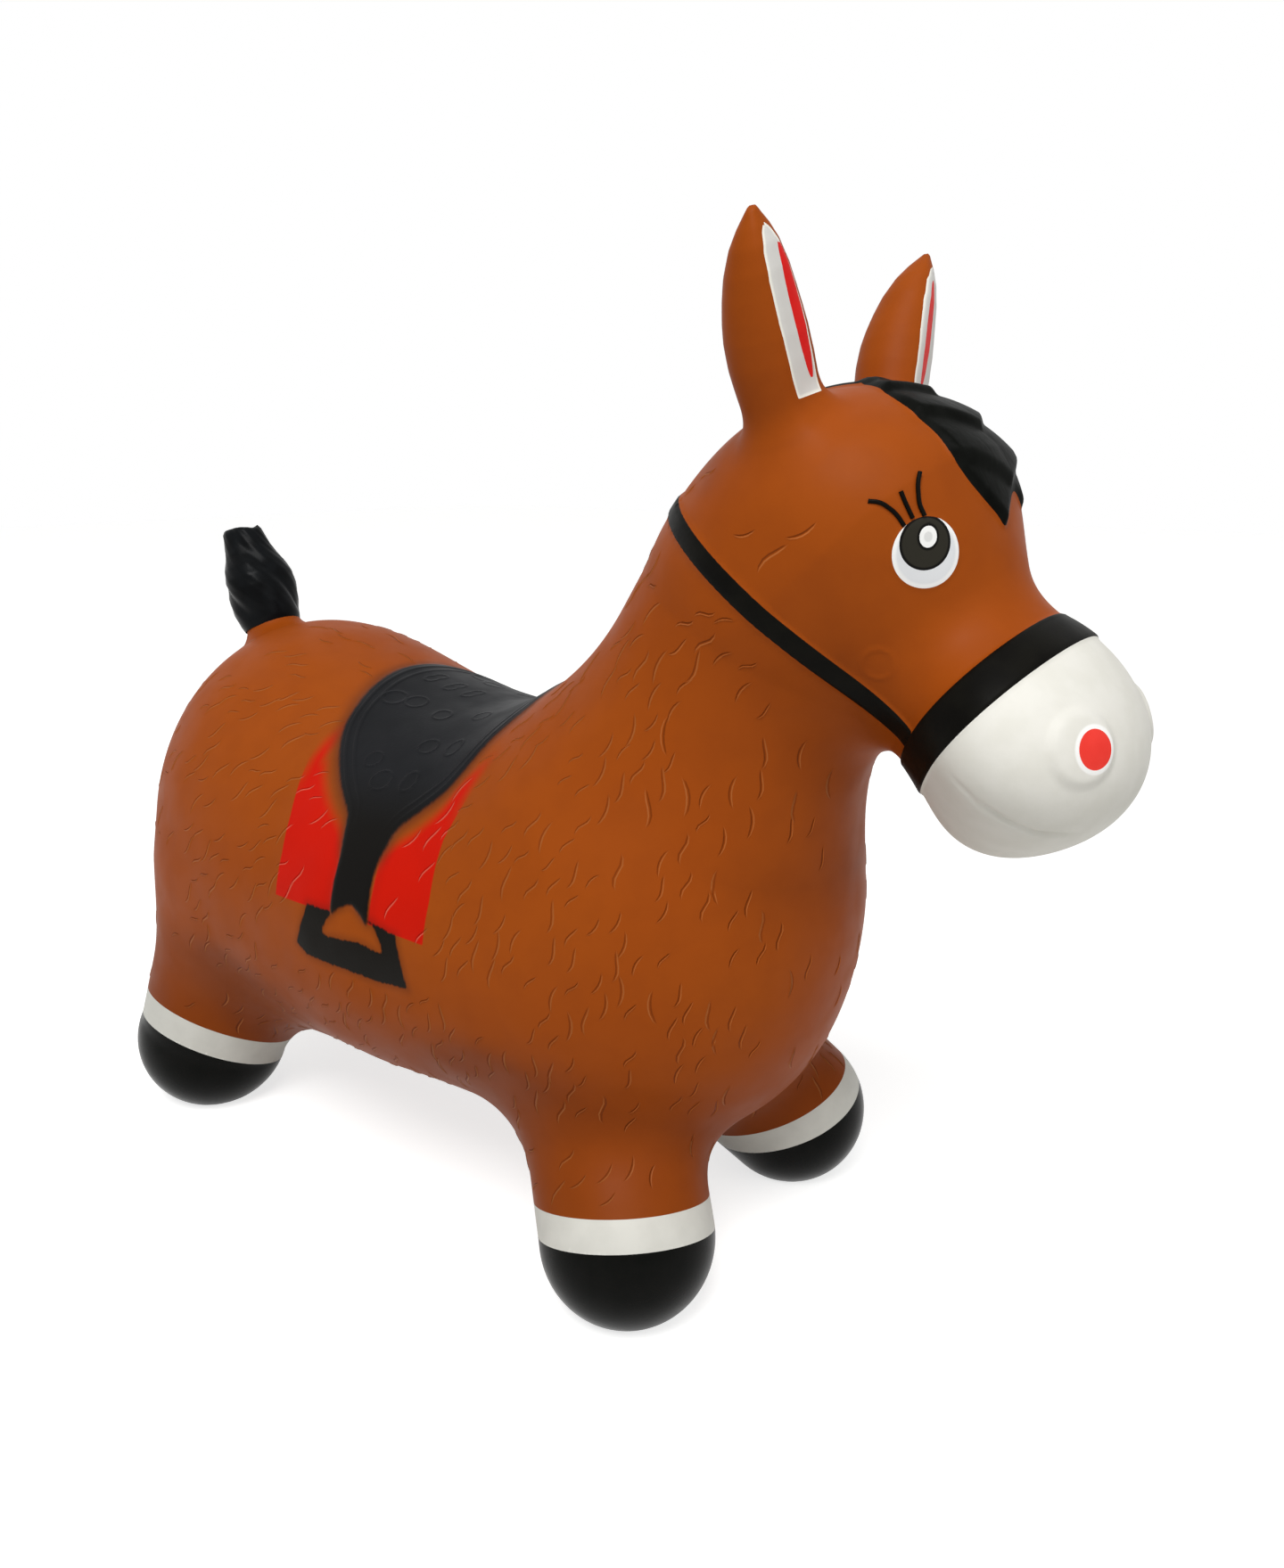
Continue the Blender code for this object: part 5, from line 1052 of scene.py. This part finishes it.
for end, forward in (("front", 1.0), ("rear", -1.0)):
    for side, mirror in mirrors.items():
        body = end + "_" + side.lower() + "_foot"
        ours = lambda places: (places[:, 0] * forward > 0.0) & (places[:, 1] * mirror[1] > 0.0)
        hoof, collar, sleeve = taken(chosen(legs, ours), "hoof", "band")
        sleeve = together(sleeve, chosen(onLegs, ours))
        foot, axis = footAxis(end)
        for name, patch, kind, node in (
                ("hoof", hoof, "hoof", "hoof_"), ("ankleBand", collar, "white", "ankle_band_"),
                ("legSleeve", sleeve, "brown", "leg_")):
            made = makePiece(name + end.capitalize() + side, patch, kind, node + end + "_" + side.lower())
            if name == "legSleeve":
                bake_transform(made)
            else:
                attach(made, body)

for number, (side, mirror) in zip((4, 5), mirrors.items()):
    patch = skinPatch(number, True)
    root, run = (part * mirror for part in earAxes()[:2])
    start = bendFrom(patch, root, unit(run))
    end = start + unit(run) * ear["bendLength"]
    red, lining, outer = taken(patch, "red", "leaf")
    for name, part, kind, nodes in (
            ("ear", outer, "brown", "ear_root_@ ear_@"), ("earLining", lining, "leaf", "ear_lining_@"),
            ("earInner", red, "red", "ear_inner_@")):
        made = makePiece(name + side, part, kind, nodes.replace("@", side.lower()))
        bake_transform(made)

patch = skinPatch(6, False)
root, nub = (np.array(place) for place in tapers["tailRoot"][:2])
axis = unit(nub - root)
start = bendFrom(patch, nub, axis)  # the place along the tail just past the root's open border
tailRoot = makePiece("tailRoot", patch, "brown", "tail_root")
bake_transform(tailRoot)
tuft = {  # along the tail from the nub, then radius
    "start": (-0.1802, 0.0, 0.2915), "end": (-0.203, 0.0, 0.3495),
    "twist": -2.4, "lobes": 3, "lobeDepth": 0.13, "spike": 0.0038, "lean": 0.003,
    "radii": ((0.0, 0.0172), (0.06, 0.0186), (0.2, 0.0206), (0.38, 0.0217), (0.5, 0.0214), (0.62, 0.019),
        (0.72, 0.0162), (0.8, 0.0146), (0.9, 0.0134), (0.97, 0.0126), (1.0, 0.0112)),
    "rings": 64, "sides": 96}


def tuftPatch():
    # three twisted locks that end in a blunt notched top
    start, end = np.array(tuft["start"]), np.array(tuft["end"])
    length, along = np.linalg.norm(end - start), unit(end - start)
    sideways = np.array((0.0, 1.0, 0.0))
    share = np.linspace(0.0, 1.0, tuft["rings"])[:, None]
    angle = np.linspace(0.0, 2.0 * math.pi, tuft["sides"], endpoint=False)[None, :]
    phase = angle - tuft["twist"] * share
    depth = tuft["lobeDepth"] * eased(share - 0.1, 0.1)
    radius = profile(share, tuft["radii"])
    radius = radius * (1.0 - depth * (1.0 - np.abs(np.cos(phase * tuft["lobes"] / 2.0))) ** 1.5)
    radius += 0.00013 * np.sin(phase * 17.0 + 4.0 * share) * eased(share - 0.12, 0.1)
    turned = (angle - 0.5 + math.pi) % (2.0 * math.pi) - math.pi
    spike = tuft["spike"] * np.exp(-(turned / 0.35) ** 2) * share ** 8
    notch = (0.0008 * np.cos(angle * 2.0 + 1.0) + tuft["lean"] * np.cos(angle + 2.5)) * share ** 5
    points = start + along * (share * length + spike + notch)[..., None]
    points = points + np.cross(sideways, along) * (radius * np.cos(angle))[..., None]
    points = (points + sideways * (radius * np.sin(angle))[..., None]).reshape(-1, 3)
    last = np.arange(len(points) - tuft["sides"], len(points))
    cap = np.stack((last, np.roll(last, -1), np.full(len(last), len(points))), axis=1)
    points = np.concatenate((points, [end - along * 0.0015]))
    faces = np.concatenate((triangles(gridFaces(tuft["rings"], tuft["sides"], closed=True)), cap))
    return {"shown": points, "normal": cornerNormals(points, faces)}, faces


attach(makePiece("tailTuft", tuftPatch(), "tail", "tail_tuft"), "tail")


def makeLashes():
    # three brushed lines above each eye, half sunk in the skin
    paths = bpy.data.curves.new("lashes", "CURVE")
    paths.dimensions = "3D"
    for lash in eye["lashes"]:
        for mirror in mirrors.values():
            line = paths.splines.new("BEZIER")
            line.bezier_points.add(len(lash) - 1)
            for knot, (x, z), share in zip(line.bezier_points, lash, np.linspace(0.0, 1.0, len(lash))):
                place, away = sidePoint(x, z)
                knot.co = toFrame((place - away * eye["lashSunk"]) * mirror)
                knot.radius = 0.72 + 0.28 * share
                knot.handle_left_type = knot.handle_right_type = "AUTO"
    tree, given = newTree("lashes", {"Paths": "Geometry", "Radius": "Float"})
    ring = addNode(tree, "GeometryNodeCurvePrimitiveCircle", {"Resolution": 10, "Radius": given["Radius"]})
    tube = addNode(tree, "GeometryNodeCurveToMesh", {
        "Curve": given["Paths"], "Profile Curve": ring.outputs[0], "Fill Caps": True})
    addNode(tree, "NodeGroupOutput", {0: tube.outputs[0]})
    mesh = grown(linked("lashPaths", paths), tree, {"Radius": eye["lashRadius"]})
    mesh.shade_smooth()
    mesh.materials.append(finishes["black"][0])
    lashes = linked("lashes", mesh)
    return lashes


for piece in (*pieces, makeLashes()):
    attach(piece, "trunk")
for name in ("valve_seat", "valve_plug"):
    for slot in frame["nodes"][name].material_slots:
        slot.material = finishes["brown"][0]


# Studio

light = {  # strengths of world and floor, then place, size and watts
    "world": 0.32, "floor": 0.72, "key": ((0.6, -1.35, 2.3), 1.2, 51.0), "fill": ((1.8, -0.4, 1.2), 1.4, 5.0)}
shot = {"place": (0.41175, -0.4686, 0.3966), "azimuth": 37.38, "down": 15.49, "lens": 27.91, "sensor": 36.0}


def seenRays(tree):
    # 1 where the backdrop is seen straight, mirrored or through glass; it lights the toy with less
    rays = addNode(tree, "ShaderNodeLightPath").outputs
    mirrored = maths(tree, "ADD", rays["Is Camera Ray"], rays["Is Glossy Ray"])
    return maths(tree, "ADD", mirrored, rays["Is Transmission Ray"])


def aimed(made, place, direction):
    made.location = place
    made.rotation_euler = direction.to_track_quat("-Z", "Y").to_euler()
    return made


def studio():
    scene = bpy.context.scene
    scene.view_settings.view_transform = "Standard"
    lens = bpy.data.cameras.new("camera")
    lens.sensor_fit = "VERTICAL"
    lens.sensor_height = shot["sensor"]
    lens.lens = shot["lens"]
    lens.clip_start = 0.05
    azimuth, down = math.radians(shot["azimuth"]), math.radians(shot["down"])
    forward = Vector((-math.sin(azimuth) * math.cos(down), math.cos(azimuth) * math.cos(down), -math.sin(down)))
    scene.camera = aimed(linked("camera", lens), shot["place"], forward)

    ground = bpy.data.meshes.new("floor")
    ground.from_pydata([(-6, -6, 0), (6, -6, 0), (6, 6, 0), (-6, 6, 0)], [], [(0, 1, 2, 3)])
    paper, tree, shader = newFinish("matt white paper", 0.5)
    shader.inputs["Roughness"].default_value = 0.9
    shader.inputs["Base Color"].default_value = colour("#d2d2d0")
    glow = addNode(tree, "ShaderNodeEmission", {
        "Color": (1.0, 1.0, 1.0, 1.0), "Strength": maths(tree, "MULTIPLY", seenRays(tree), light["floor"])})
    both = addNode(tree, "ShaderNodeAddShader", {0: shader.outputs[0], 1: glow.outputs[0]})
    tree.links.new(both.outputs[0], tree.nodes["Material Output"].inputs["Surface"])
    ground.materials.append(paper)
    floor = linked("floor", ground)

    world = bpy.data.worlds.new("studio")
    world.use_nodes = True
    tree = world.node_tree
    back = tree.nodes["Background"]
    back.inputs["Color"].default_value = (1.0, 1.0, 1.0, 1.0)
    seen = addNode(tree, "ShaderNodeMapRange", {"Value": seenRays(tree), "To Min": light["world"], "To Max": 1.0})
    tree.links.new(seen.outputs["Result"], back.inputs["Strength"])
    scene.world = world
    for name in ("key", "fill"):
        place, size, power = light[name]
        shine = bpy.data.lights.new(name, "AREA")
        shine.size = size
        shine.energy = power
        aimed(linked(name, shine), place, Vector((0.0, 0.0, 0.2)) - Vector(place))


print("studio")
studio()
